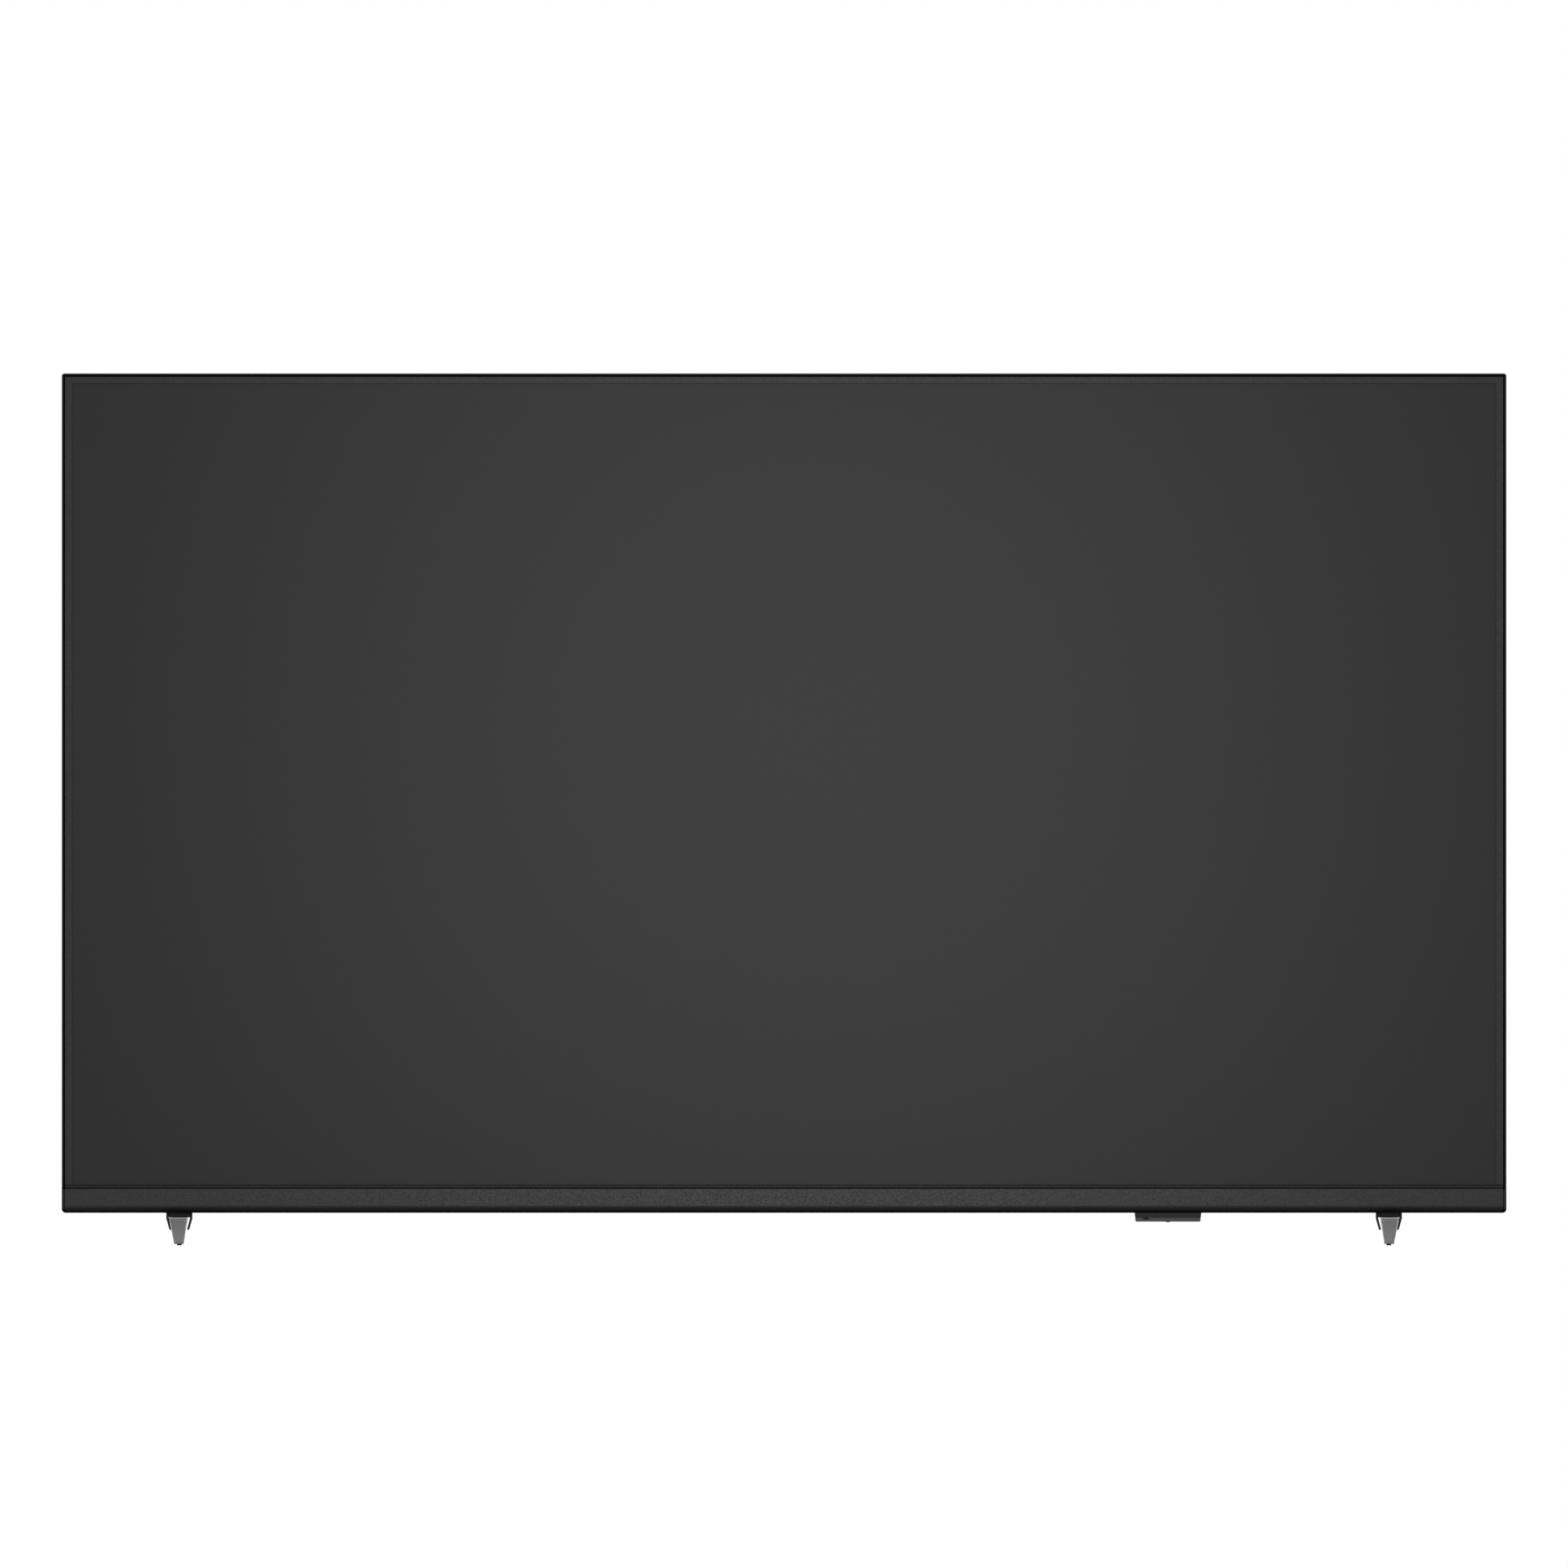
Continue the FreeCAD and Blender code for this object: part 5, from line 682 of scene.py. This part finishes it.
class DisplayStage(Operator):
    """Floor, white surround, soft lights and the straight front camera"""

    bl_idname = "display.make_stage"
    bl_label = "Stage"

    def execute(self, context):
        scene = context.scene
        look = scene.display_colours
        scene.view_settings.view_transform = "Standard"
        camera = bpy.data.cameras.new("camera")
        camera.type = "ORTHO"
        camera.ortho_scale = FRAME_WIDE
        camera.clip_end = VIEW_END
        eye = bpy.data.objects.new("camera", camera)
        scene.collection.objects.link(eye)
        eye.location = (FRAME_X, -EYE_AWAY, FRAME_Z)
        eye.rotation_euler = (pi / 2, 0, 0)
        scene.camera = eye
        self.make_world(scene)
        self.make_floor(scene, tuple(look.floor))
        self.make_lights(scene, look.key_power)
        return {"FINISHED"}

    def make_world(self, scene):
        """White for the camera and for reflections, dimmer as a light."""
        world = bpy.data.worlds.new("studio")
        scene.world = world
        world.use_nodes = True
        tree = world.node_tree
        tree.nodes.clear()
        shown = ray_share(tree, "Is Camera Ray", "Is Glossy Ray", "Is Transmission Ray")
        soft = add(tree, "ShaderNodeBackground", {"Color": (1, 1, 1, 1), "Strength": AMBIENT})
        white = add(tree, "ShaderNodeBackground", {"Color": (1, 1, 1, 1), "Strength": 1.0})
        mixed = add(tree, "ShaderNodeMixShader", {
            "Fac": shown, 1: soft.outputs[0], 2: white.outputs[0]})
        out = add(tree, "ShaderNodeOutputWorld")
        tree.links.new(mixed.outputs[0], out.inputs["Surface"])

    def make_floor(self, scene, colour):
        """A pale floor that fades to plain white away from the display, and bounces less light."""
        half, drop = FLOOR_HALF, -FLOOR_DROP
        mesh = bpy.data.meshes.new("floor")
        mesh.from_pydata([(-half, -half, drop), (half, -half, drop), (half, half, drop),
                          (-half, half, drop)], [], [(0, 1, 2, 3)])
        floor = bpy.data.objects.new("floor", mesh)
        scene.collection.objects.link(floor)
        made = bpy.data.materials.new("studio_floor")
        made.use_nodes = True
        tree = made.node_tree
        shader = tree.nodes["Principled BSDF"]
        seen = ray_share(tree, "Is Camera Ray", "Is Glossy Ray")
        tone = add(tree, "ShaderNodeMix", {
            "Factor": seen, 6: (FLOOR_BOUNCE,) * 3 + (1,), 7: colour + (1,)}, data_type="RGBA")
        tree.links.new(tone.outputs[2], shader.inputs["Base Color"])
        shader.inputs["Roughness"].default_value = 0.9
        shader.inputs["Specular IOR Level"].default_value = 0.1
        place = add(tree, "ShaderNodeTexCoord").outputs["Object"]
        away = add(tree, "ShaderNodeVectorMath", {0: place}, operation="LENGTH")
        fade = faded(tree, away.outputs["Value"], FLOOR_NEAR, FLOOR_FAR, 0.0, 1.0)
        white = add(tree, "ShaderNodeEmission", {"Color": (1, 1, 1, 1), "Strength": 1.0})
        mixed = add(tree, "ShaderNodeMixShader", {
            "Fac": worked(tree, "MULTIPLY", fade, seen), 1: shader.outputs[0],
            2: white.outputs[0]})
        tree.links.new(mixed.outputs[0], tree.nodes["Material Output"].inputs["Surface"])
        mesh.materials.append(made)

    def make_lights(self, scene, key_power):
        """Four soft rectangles: in front, overhead, and at both sides behind."""
        lights = [
            # name, place, point aimed at, size, power
            ("key", (0.03, -2.4, 0.51), (0.03, 0, 0.51), (1.0, 1.0), key_power),
            ("overhead", (0.0, -0.9, 2.7), (0, -0.1, 0.1), (2.0, 0.8), 32.0),
            ("rear_left", (-1.9, 2.4, 1.7), (0, 0, 0.45), (1.6, 1.6), 40.0),
            ("rear_right", (2.1, 2.2, 1.2), (0, 0, 0.4), (1.4, 1.4), 22.0),
        ]
        for name, place, aim, size, power in lights:
            lamp = bpy.data.lights.new(name, "AREA")
            lamp.shape = "RECTANGLE"
            lamp.size, lamp.size_y = size
            lamp.energy = power
            item = bpy.data.objects.new(name, lamp)
            scene.collection.objects.link(item)
            item.location = place
            way = Vector(aim) - Vector(place)
            item.rotation_euler = way.to_track_quat("-Z", "Y").to_euler()
            item.visible_camera = False


class DisplayTrim(Operator):
    """The thin outer trim, the dark web in it, the line round the screen and the top border"""

    bl_idname = "display.make_trim"
    bl_label = "Outer trim"

    def execute(self, context):
        self.outer_trim(context.scene.display_sizes)
        self.cell_edges()
        self.head_strip()
        return {"FINISHED"}

    def outer_trim(self, sizes):
        """Two small sections carried up one side, over the top and down the other."""
        wall, edge = LIP_WIDE, sizes.edge_round
        front, back = TRIM_LOW[1], TRIM_HIGH[1]
        section = rounded_loop([(0, front), (wall, front), (wall, back), (0, back)],
                               [edge / 2, edge, edge / 2, edge / 2])
        start, end = wall - edge, wall + WEB_WIDE
        near = front + WEB_SET_BACK
        far = near + WEB_THICK
        web = rounded_loop([(start, near), (end, near), (end, far), (start, far)], WEB_EASE, 3)
        trim = self.carried(section, sizes, TRIM_LOW[2], FACE_END + CHIN_END_GAP)
        piece("outer_trim", [loft(trim)], "trim_black", ["trim_top", "trim_left", "trim_right"],
              sharp=40)
        piece("trim_web", [loft(self.carried(web, sizes))], "trim_black", [], look="gap_black")

    def cell_edges(self):
        """A fine darker line along the screen's top and sides, painted as the shadow at the
        border's inner edge.
        """
        inside, high = SIDE_LOW[0], SIDE_HIGH[2]
        top = high - CELL_LINE
        bars = [(-inside, -inside + CELL_LINE, STRIP_TOP, top),
                (inside - CELL_LINE, inside, STRIP_TOP, top), (-inside, inside, top, high)]
        lines = [plate_y([(x0, z0), (x1, z0), (x1, z1), (x0, z1)], [LINE_CORNER] * 4,
                         CELL_FACE - LINE_PROUD, CELL_FACE + LINE_DEEP, LINE_EASE, 2)
                 for x0, x1, z0, z1 in bars]
        piece("cell_edges", lines, "screen_surface", [], look="cell_edge")

    def head_strip(self):
        """The border over the screen: a leaf with a leg turned back, carried along X."""
        front, back, low = HEAD_LOW[1], HEAD_HIGH[1], HEAD_LOW[2]
        top = HEAD_HIGH[2] - HEAD_EASE
        under = top - HEAD_LEG
        leaf = rounded_loop([(front, top), (front, low), (CELL_FACE, low), (CELL_FACE, under),
                             (back, under), (back, top)], HEAD_ROUND, 4)
        piece("head_strip", [extrude_x(leaf, [HEAD_LOW[0], HEAD_HIGH[0]])], "strip_black",
              ["bezel_top"])

    def carried(self, section, sizes, low=None, foot_end=None):
        """Rings of a section along the frame's outline.

        A point inset by o turns each corner on radius R - o about the corner's centre, or sharply
        where o is more than R. With low and foot_end given the section grows thinner beside the
        chin, turns in at its lower corners and ends at foot_end; otherwise it ends above the chin.
        """
        inset = section[:, 0]
        thin = inset * LIP_THIN / LIP_WIDE
        round_top, round_low = sizes.trim_top_round, sizes.trim_low_round
        top = TOP_HIGH[2] - TOP_EASE
        ends = []
        for side, turn in ((-1, np.linspace(-90, -180, 9)), (1, np.linspace(-90, 0, 9))):
            end = [self.side_row(inset, side, STRIP_LOW)]
            if low is not None:
                end = ([self.end_row(thin, side * foot_end, low)]
                       + self.arc(thin, side, low, round_low, turn, 1)
                       + [self.side_row(thin, side, STRIP_LOW - LIP_STEP)] + end)
            ends.append(end)
        rows = (ends[0] + self.arc(inset, -1, top, round_top, np.linspace(180, 90, 9), -1)
                + self.arc(inset, 1, top, round_top, np.linspace(90, 0, 9), -1) + ends[1][::-1])
        rows = np.array(rows)
        return xyz(rows[:, 0], section[:, 1], rows[:, 1])

    def end_row(self, inset, x, low):
        """The section's end at one x, on the lower edge."""
        return np.full(len(inset), x), low + inset

    def side_row(self, inset, side, z):
        """The section at one height of a side."""
        return side * (HALF_OUT - inset), np.full(len(inset), z)

    def arc(self, inset, side, edge_z, radius, angles, inward):
        """Rows round a corner; edge_z is the outside's height, inward the way to the centre."""
        wide = np.maximum(radius, inset)
        rest = wide - inset
        middle_x = side * (HALF_OUT - wide)
        middle_z = edge_z + inward * wide
        return [(middle_x + rest * np.cos(a), middle_z + rest * np.sin(a))
                for a in np.radians(angles)]


class DisplayChin(Operator):
    """The bar under the screen, its rolled lower edge, its ends and the strips over it"""

    bl_idname = "display.make_chin"
    bl_label = "Chin bar"

    def execute(self, context):
        sizes = context.scene.display_sizes
        self.bar(sizes)
        self.strips()
        self.ends(sizes)
        return {"FINISHED"}

    def bar(self, sizes):
        """The chin's section carried along X, and a plain lip for each tip.

        The further down a face of the roll looks, the lower its finish's specular level, as
        painted shade; the underside gets a near-matte finish, also painted shade.
        """
        roll, wall, ease = sizes.chin_roll, CHIN_WALL, CHIN_EASE
        front, back = CHIN_LOW[1], CHIN_HIGH[1]
        low, high = CHIN_LOW[2], CHIN_HIGH[2]
        full = rounded_loop(
            [(front, high), (front, low), (back, low), (back, low + wall),
             (front + wall, low + wall), (front + wall, high)],
            [ease, roll, ease, ease, roll - wall, ease], 25)
        cut = low + sizes.trim_low_round
        lip = rounded_loop([(front, high), (front, cut), (front + wall, cut),
                            (front + wall, high)], ease, 13)
        shells = [extrude_x(full, np.linspace(-FACE_END, FACE_END, 65))]
        shells += [extrude_x(lip, side * np.array([TIP_START, TIP_END])) for side in (-1, 1)]
        item = piece("chin", shells, "chin_black", ["chin_bar"], sharp=35)
        turns = np.sin(np.radians(TURN_ANGLES))
        under = len(turns)
        banded(item, ["chin_turn_%d" % step for step in range(under - 1)] + ["chin_under"],
               lambda centres, normals: np.where(centres[:, 1] > front + roll, under,
                                                 (-normals[:, 2:3] > turns).sum(1)))

    def strips(self):
        """The low border strip, its rim in a finish of its own, and the seam under them, darkened
        as a painted shadow.
        """
        front = BEZEL_LOW[1] - STRIP_PROUD
        back = BEZEL_HIGH[1]
        seam_front = front + SEAM_DEEP
        seam_high = STRIP_LOW + CHIN_EASE
        ease = STRIP_EASE
        strip = rounded_loop([(front, STRIP_SPLIT), (front, STRIP_LOW), (back, STRIP_LOW),
                              (back, STRIP_SPLIT)], [ease, STRIP_LOW_EASE, ease, ease])
        rim = rounded_loop([(front, STRIP_TOP), (front, STRIP_SPLIT), (back, STRIP_SPLIT),
                            (back, STRIP_TOP)], ease, 3)
        seam = rounded_loop([(seam_front, seam_high), (seam_front, BEZEL_LOW[2]),
                             (back, BEZEL_LOW[2]), (back, seam_high)], SEAM_EASE, 3)
        strip, rim, seam = [extrude_x(loop, [-STRIP_HALF, STRIP_HALF])
                            for loop in (strip, rim, seam)]
        item = piece("low_strip", [strip, rim], "strip_black", ["bezel_bottom"], look="strip_low")
        banded(item, ["strip_rim"], lambda centres, normals: centres[:, 2] > STRIP_SPLIT)
        piece("low_seam", [seam], "strip_black", [], look="seam_black")

    def ends(self, sizes):
        """Plates behind the grooves at both ends of the chin, near-black as painted shade in the
        grooves.
        """
        ease = CHIN_EASE
        start, end = FACE_END - MM, HALF_OUT - ease
        low = CHIN_LOW[2] + ease
        plates = []
        for side in (-1, 1):
            corners = np.array([(start, low), (end, low), (end, STRIP_LOW), (start, STRIP_LOW)])
            if side < 0:
                corners = (corners * (-1, 1))[::-1]
            radii = np.full(4, ease)
            radii[1 if side > 0 else 2] = sizes.trim_low_round - ease
            plates.append(plate_y(corners, radii, CHIN_LOW[1] + END_SET_BACK,
                                  CHIN_HIGH[1] - ease, END_EASE))
        piece("chin_ends", plates, "strip_black", [], look="gap_black")


class DisplaySensorBox(Operator):
    """The small box under the chin, its dark window and the push button in its underside"""

    bl_idname = "display.make_sensor_box"
    bl_label = "Sensor box"

    def execute(self, context):
        self.box()
        self.window()
        self.button()
        return {"FINISHED"}

    def half_at(self, z):
        """Half the box's width at a height, in line between its two ends."""
        low, high = BOX_LOW[2], BOX_HIGH[2]
        half_high = (BOX_HIGH[0] - BOX_LOW[0]) / 2
        return SENSOR_LOW_HALF + (half_high - SENSOR_LOW_HALF) * (z - low) / (high - low)

    def front_at(self, z):
        """The front's depth at a height: back down to the waist, then forward again."""
        low, high = BOX_LOW[2], BOX_HIGH[2]
        step = high - SENSOR_BAND
        front = BOX_LOW[1] + SENSOR_LEAN
        return np.where(z >= step, front + SENSOR_WAIST * (high - z) / (high - step),
                        front + SENSOR_WAIST - SENSOR_LIP * (step - z) / (step - low))

    def box(self):
        """One closed skin: the outside, the button's opening, and the inside up to the roof.

        The opening's points lie on a circle in the directions of the outline's points. Those bunch
        near the X axis, so the opening is a slot there and narrower than the button along Y.
        """
        low, high = BOX_LOW[2], BOX_HIGH[2]
        middle = centre_x(BOX_LOW, BOX_HIGH)
        back, wall, ease = BOX_HIGH[1], SENSOR_WALL, SENSOR_EASE
        step = high - SENSOR_BAND
        turn = np.radians(np.linspace(0, 90, 6))
        outer_z = np.concatenate([
            [high, step + SENSOR_STEP_HALF, step, step - SENSOR_STEP_HALF],
            low + ease * (1 - np.sin(turn))])
        inset = np.concatenate([np.zeros(4), ease * (1 - np.cos(turn))])
        outer = box_rings(middle, self.half_at(outer_z) - inset, self.front_at(outer_z) + inset,
                          back - inset, outer_z, SENSOR_CORNER)
        inner_z = np.array([low + wall, high - SENSOR_ROOF])
        inner_front = BOX_LOW[1] + SENSOR_LEAN + wall
        inner = box_rings(middle, self.half_at(inner_z) - wall, inner_front, back - wall, inner_z,
                          SENSOR_INNER_CORNER)
        hole_r = BUTTON_R + BUTTON_FIT
        hole_z = np.array([low, low + BUTTON_LEAD_IN, low + wall])
        hole_wide = np.array([hole_r + BUTTON_LEAD_IN, hole_r, hole_r])
        centre = (BUTTON_LOW + BUTTON_HIGH)[:2] / 2
        spoke = outer[-1][:, :2] - centre
        spoke /= np.linalg.norm(spoke, axis=1, keepdims=True)
        loops = centre + spoke * hole_wide[:, None, None]
        hole = xyz(loops[..., 0], loops[..., 1], hole_z[:, None])
        skin = loft(np.concatenate([outer, hole, inner]), closed=True)
        item = piece("sensor_box", [skin], "trim_black", ["sensor_housing"], sharp=10,
                     look="sensor_case")
        # Painted light and shade: the lower band gets a lighter, glossier finish, and the faces
        # looking down a near-matte one.
        banded(item, ["sensor_lens", "chin_under"], lambda centres, normals: np.where(
            normals[:, 2] < -DOWNWARD, 2, np.where(centres[:, 2] < step, 1, 0)))

    def window(self):
        """The dark window, which follows the box's front."""
        low, high = WINDOW_LOW[2], WINDOW_HIGH[2]
        loop = box_loop((WINDOW_LOW[0], WINDOW_HIGH[0] + WINDOW_EASE), (low, high),
                        WINDOW_CORNER, 6)
        centre = loop.mean(0)
        scale = 1 - WINDOW_INSIDE / (0.5 * (high - low))
        x, z = np.moveaxis(centre + (loop - centre) * scale[:, None, None], -1, 0)
        rings = xyz(x, self.front_at(z) + WINDOW_BEHIND[:, None], z)
        piece("window", [loft(rings)], "window_dark", ["sensor_window"])

    def button(self):
        """The push button: a domed cap, a flange inside the box and a core up to the switch."""
        middle = (BUTTON_LOW + BUTTON_HIGH)[:2] / 2
        top = BUTTON_HIGH[2]
        low = BOX_LOW[2] + SENSOR_WALL + FLANGE_GAP
        high = low + FLANGE_THICK
        profile = np.concatenate([BUTTON_CAP + (0, BUTTON_LOW[2]), [
            (BUTTON_R, low), (FLANGE_R, low), (FLANGE_R, high), (BUTTON_CORE_R, high),
            (BUTTON_CORE_R, top), (BUTTON_POLE_R, top)]])
        piece("button", [turned(profile, middle)], SLOT_OF["standby_button"],
              ["standby_button"], body="standby_button")


class DisplayFeet(Operator):
    """The legs, swept from toe to toe, with the necks and the rubber pads"""

    bl_idname = "display.make_feet"
    bl_label = "Feet"

    def execute(self, context):
        bevel = context.scene.display_sizes.leg_bevel
        for side, outward in (("left", -1), ("right", 1)):
            low, high = low_high("leg_" + side)
            middle = centre_x(low, high)
            rings = self.leg_rings(high[1], bevel)
            rings[..., 0] += middle + outward * (LEG_SHIFT + LEG_SKEW * rings[..., 2])
            item = piece("leg_%s_swept" % side, [loft(rings), self.tenon(middle, high[2])],
                         "leg_silver", ["leg_" + side], sharp=28)
            toe = high[1] - LEG_NOSE
            banded(item, ["leg_edge", "leg_toe"],
                   lambda centres, normals: self.leg_bands(centres, normals, toe))
            self.make_sleeve(side, middle)
        softened("foot_pads", 0.25 * MM)
        return {"FINISHED"}

    def leg_bands(self, centres, normals, toe):
        """1 on the crest's low upright step and 2 on the toe, whose darker finish is painted shade
        that offsets the front light on it.
        """
        away = np.abs(centres[:, 1])
        step = ((centres[:, 2] > LEG_TOP - CREST_TALL) & (np.abs(normals[:, 1]) > UPRIGHT)
                & (away > CREST_BACK))
        return np.where(step, 1, np.where(away > toe, 2, 0))

    def leg_rings(self, back, bevel):
        """Sections along Y.

        The top falls as a shallow parabola, the underside is a smoothed arch, the half width grows
        in line with the height, and the last rings ease in over the toe.
        """
        depth, ease = quarter(LEG_NOSE, 9)
        path = np.linspace(back - LEG_NOSE - MM, CREST_FRONT, 50)
        half_path = np.concatenate([back - depth, path, [CREST_BACK, 0]])
        inset = np.concatenate([ease, np.zeros(len(path) + 2)])
        y = np.concatenate([-half_path, half_path[::-1][1:]])
        inset = np.concatenate([inset, inset[::-1][1:]])
        away = np.abs(y)
        beyond = np.maximum(away - CREST_FRONT, 0)
        crest = np.where(away <= CREST_BACK, LEG_TOP, LEG_TOP - CREST_TALL)
        top = crest - LEG_FALL * beyond - LEG_CURVE * beyond ** 2
        shift = np.linspace(-LEG_ARCH_BLUR, LEG_ARCH_BLUR, 13)[:, None]
        low = np.interp(away + shift, np.array(LEG_ARCH_Y) * MM, np.array(LEG_ARCH_Z) * MM).mean(0)
        low = np.maximum(low, PAD_THICK) + inset * LEG_TOE_RISE
        run = np.clip((away - CREST_FRONT) / BEVEL_RUN, 0, 1)
        start = np.clip((away - CREST_FRONT) / BEVEL_START, BEVEL_LEAST, 1)
        round_top = (LEG_EDGE_TOE + (bevel - LEG_EDGE_TOE) * (1 - run)) * start
        top = np.maximum(top - inset, low + LEG_LEAST)
        lean = (LEG_TOP_HALF - LEG_LOW_HALF) / (LEG_TOP - PAD_THICK)
        half_foot = LEG_LOW_HALF - inset * LEG_TOE_NARROW
        half_low = half_foot + (low - PAD_THICK) * lean
        half_top = half_foot + (top - PAD_THICK) * lean
        corners = np.stack([
            np.stack([-half_low, low], -1), np.stack([half_low, low], -1),
            np.stack([half_top, top], -1), np.stack([-half_top, top], -1)], -2)
        round_top = np.minimum(round_top, (top - low) * LEG_ROUND_SHARE)
        round_low = np.full(len(y), LEG_LOW_ROUND)
        radii = np.stack([round_low, round_low, round_top, round_top], -1)
        loops = rounded_loop(corners, radii, 7)
        return xyz(loops[..., 0], y[:, None], loops[..., 1])

    def make_sleeve(self, side, middle):
        """Two slanting cheeks and, between them, the neck's recessed face and its core."""
        half = (SLEEVE_HIGH[0] - SLEEVE_LOW[0]) / 2
        front, back, high = SLEEVE_LOW[1], SLEEVE_HIGH[1], SLEEVE_HIGH[2]
        tip = SLEEVE_LOW[2]
        right = np.array([(CHEEK_TIP_HALF - CHEEK_TIP_THICK, tip), (CHEEK_TIP_HALF, tip),
                          (half, CHEEK_BEND), (half, CHEEK_TOP), (half - CHEEK_THICK, CHEEK_TOP),
                          (half - CHEEK_BEND_THICK, CHEEK_BEND)])
        left = (right * (-1, 1))[::-1]
        core_front = NECK_FRONT + CORE_SET_BACK
        shells = [
            plate_y(right + (middle, 0), CHEEK_ROUNDS, front, back, CHEEK_EASE),
            plate_y(left + (middle, 0), CHEEK_ROUNDS[::-1], front, back, CHEEK_EASE),
            post_z(middle, NECK_HALF, NECK_FRONT, -NECK_FRONT, NECK_LOW, high, NECK_ROUND,
                   NECK_FOOT),
            post_z(middle, half - CHEEK_THICK / 2, core_front, -core_front, NECK_LOW + CORE_RISE,
                   high, NECK_ROUND, CORE_FOOT)]
        piece("sleeve_%s_formed" % side, shells, "neck_black", ["sleeve_" + side], sharp=40)

    def tenon(self, middle, top):
        """The block on the crest that goes up into the neck."""
        loop = box_loop((middle - TENON_HALF, middle + TENON_HALF), (-TENON_DEEP, TENON_DEEP),
                        TENON_ROUND, 4)
        return loft(xyz(loop[:, 0], loop[:, 1], np.array([[LEG_TOP - MM], [top]])))


class DisplayRear(Operator):
    """The rear cover with rounded edges, its screws and the wall mount's bushes"""

    bl_idname = "display.make_rear"
    bl_label = "Rear cover"

    def execute(self, context):
        softened("rear_cover", context.scene.display_sizes.cover_round, 3, room=COVER_ROOM)
        for node, width in (("cover_screws", 0.25), ("foot_screws", 0.3), ("mount_bushes", 0.4)):
            softened(node, width * MM)
        return {"FINISHED"}


class DisplayPorts(Operator):
    """The sockets, the mains inlet and its rocker, with their edges eased"""

    bl_idname = "display.make_ports"
    bl_label = "Sockets and inlet"

    def execute(self, context):
        for node in ("hdmi_sockets", "usb_sockets"):
            softened(node, 0.12 * MM)
        for node in ("lan_socket", "aerial_socket", "audio_jack"):
            softened(node, 0.2 * MM)
        for node in ("mains_inlet", "rocker_frame"):
            softened(node, 0.4 * MM, 3)
        softened("inlet_pins", 0.3 * MM)
        softened("power_rocker", 0.4 * MM, 3, body="power_rocker")
        return {"FINISHED"}


class DisplayFinishes(Operator):
    """Every carried-over sub-part gets the finish of its slot"""

    bl_idname = "display.make_finishes"
    bl_label = "Finishes"

    def execute(self, context):
        for node, item in NODES.items():
            if not item.hide_render:
                item.data.materials.clear()
                item.data.materials.append(finish(SLOT_OF[node]))
        return {"FINISHED"}


class DisplayPanel(Panel):
    """Lists the display's sizes, colours and pieces"""

    bl_idname = "VIEW3D_PT_display"
    bl_label = "Large format display"
    bl_space_type = "VIEW_3D"
    bl_region_type = "UI"
    bl_category = "Display"

    def draw(self, context):
        for holder in (context.scene.display_sizes, context.scene.display_colours):
            box = self.layout.box()
            for name in holder.__annotations__:
                box.prop(holder, name)
        for operator in OPERATORS:
            self.layout.operator(operator.bl_idname)


OPERATORS = (DisplayStage, DisplayTrim, DisplayChin, DisplaySensorBox, DisplayFeet, DisplayRear,
             DisplayPorts, DisplayFinishes)
CLASSES = (DisplaySizes, DisplayColours) + OPERATORS + (DisplayPanel,)


def register():
    """Adds the classes, and their sizes and colours to every scene."""
    for item in CLASSES:
        bpy.utils.register_class(item)
    bpy.types.Scene.display_sizes = PointerProperty(type=DisplaySizes)
    bpy.types.Scene.display_colours = PointerProperty(type=DisplayColours)


def unregister():
    """Takes away what register added."""
    del bpy.types.Scene.display_colours
    del bpy.types.Scene.display_sizes
    for item in reversed(CLASSES):
        bpy.utils.unregister_class(item)


def main():
    """Makes every piece."""
    register()
    for operator in OPERATORS:
        group, name = operator.bl_idname.split(".")
        getattr(getattr(bpy.ops, group), name)()


if __name__ == "__main__":
    main()
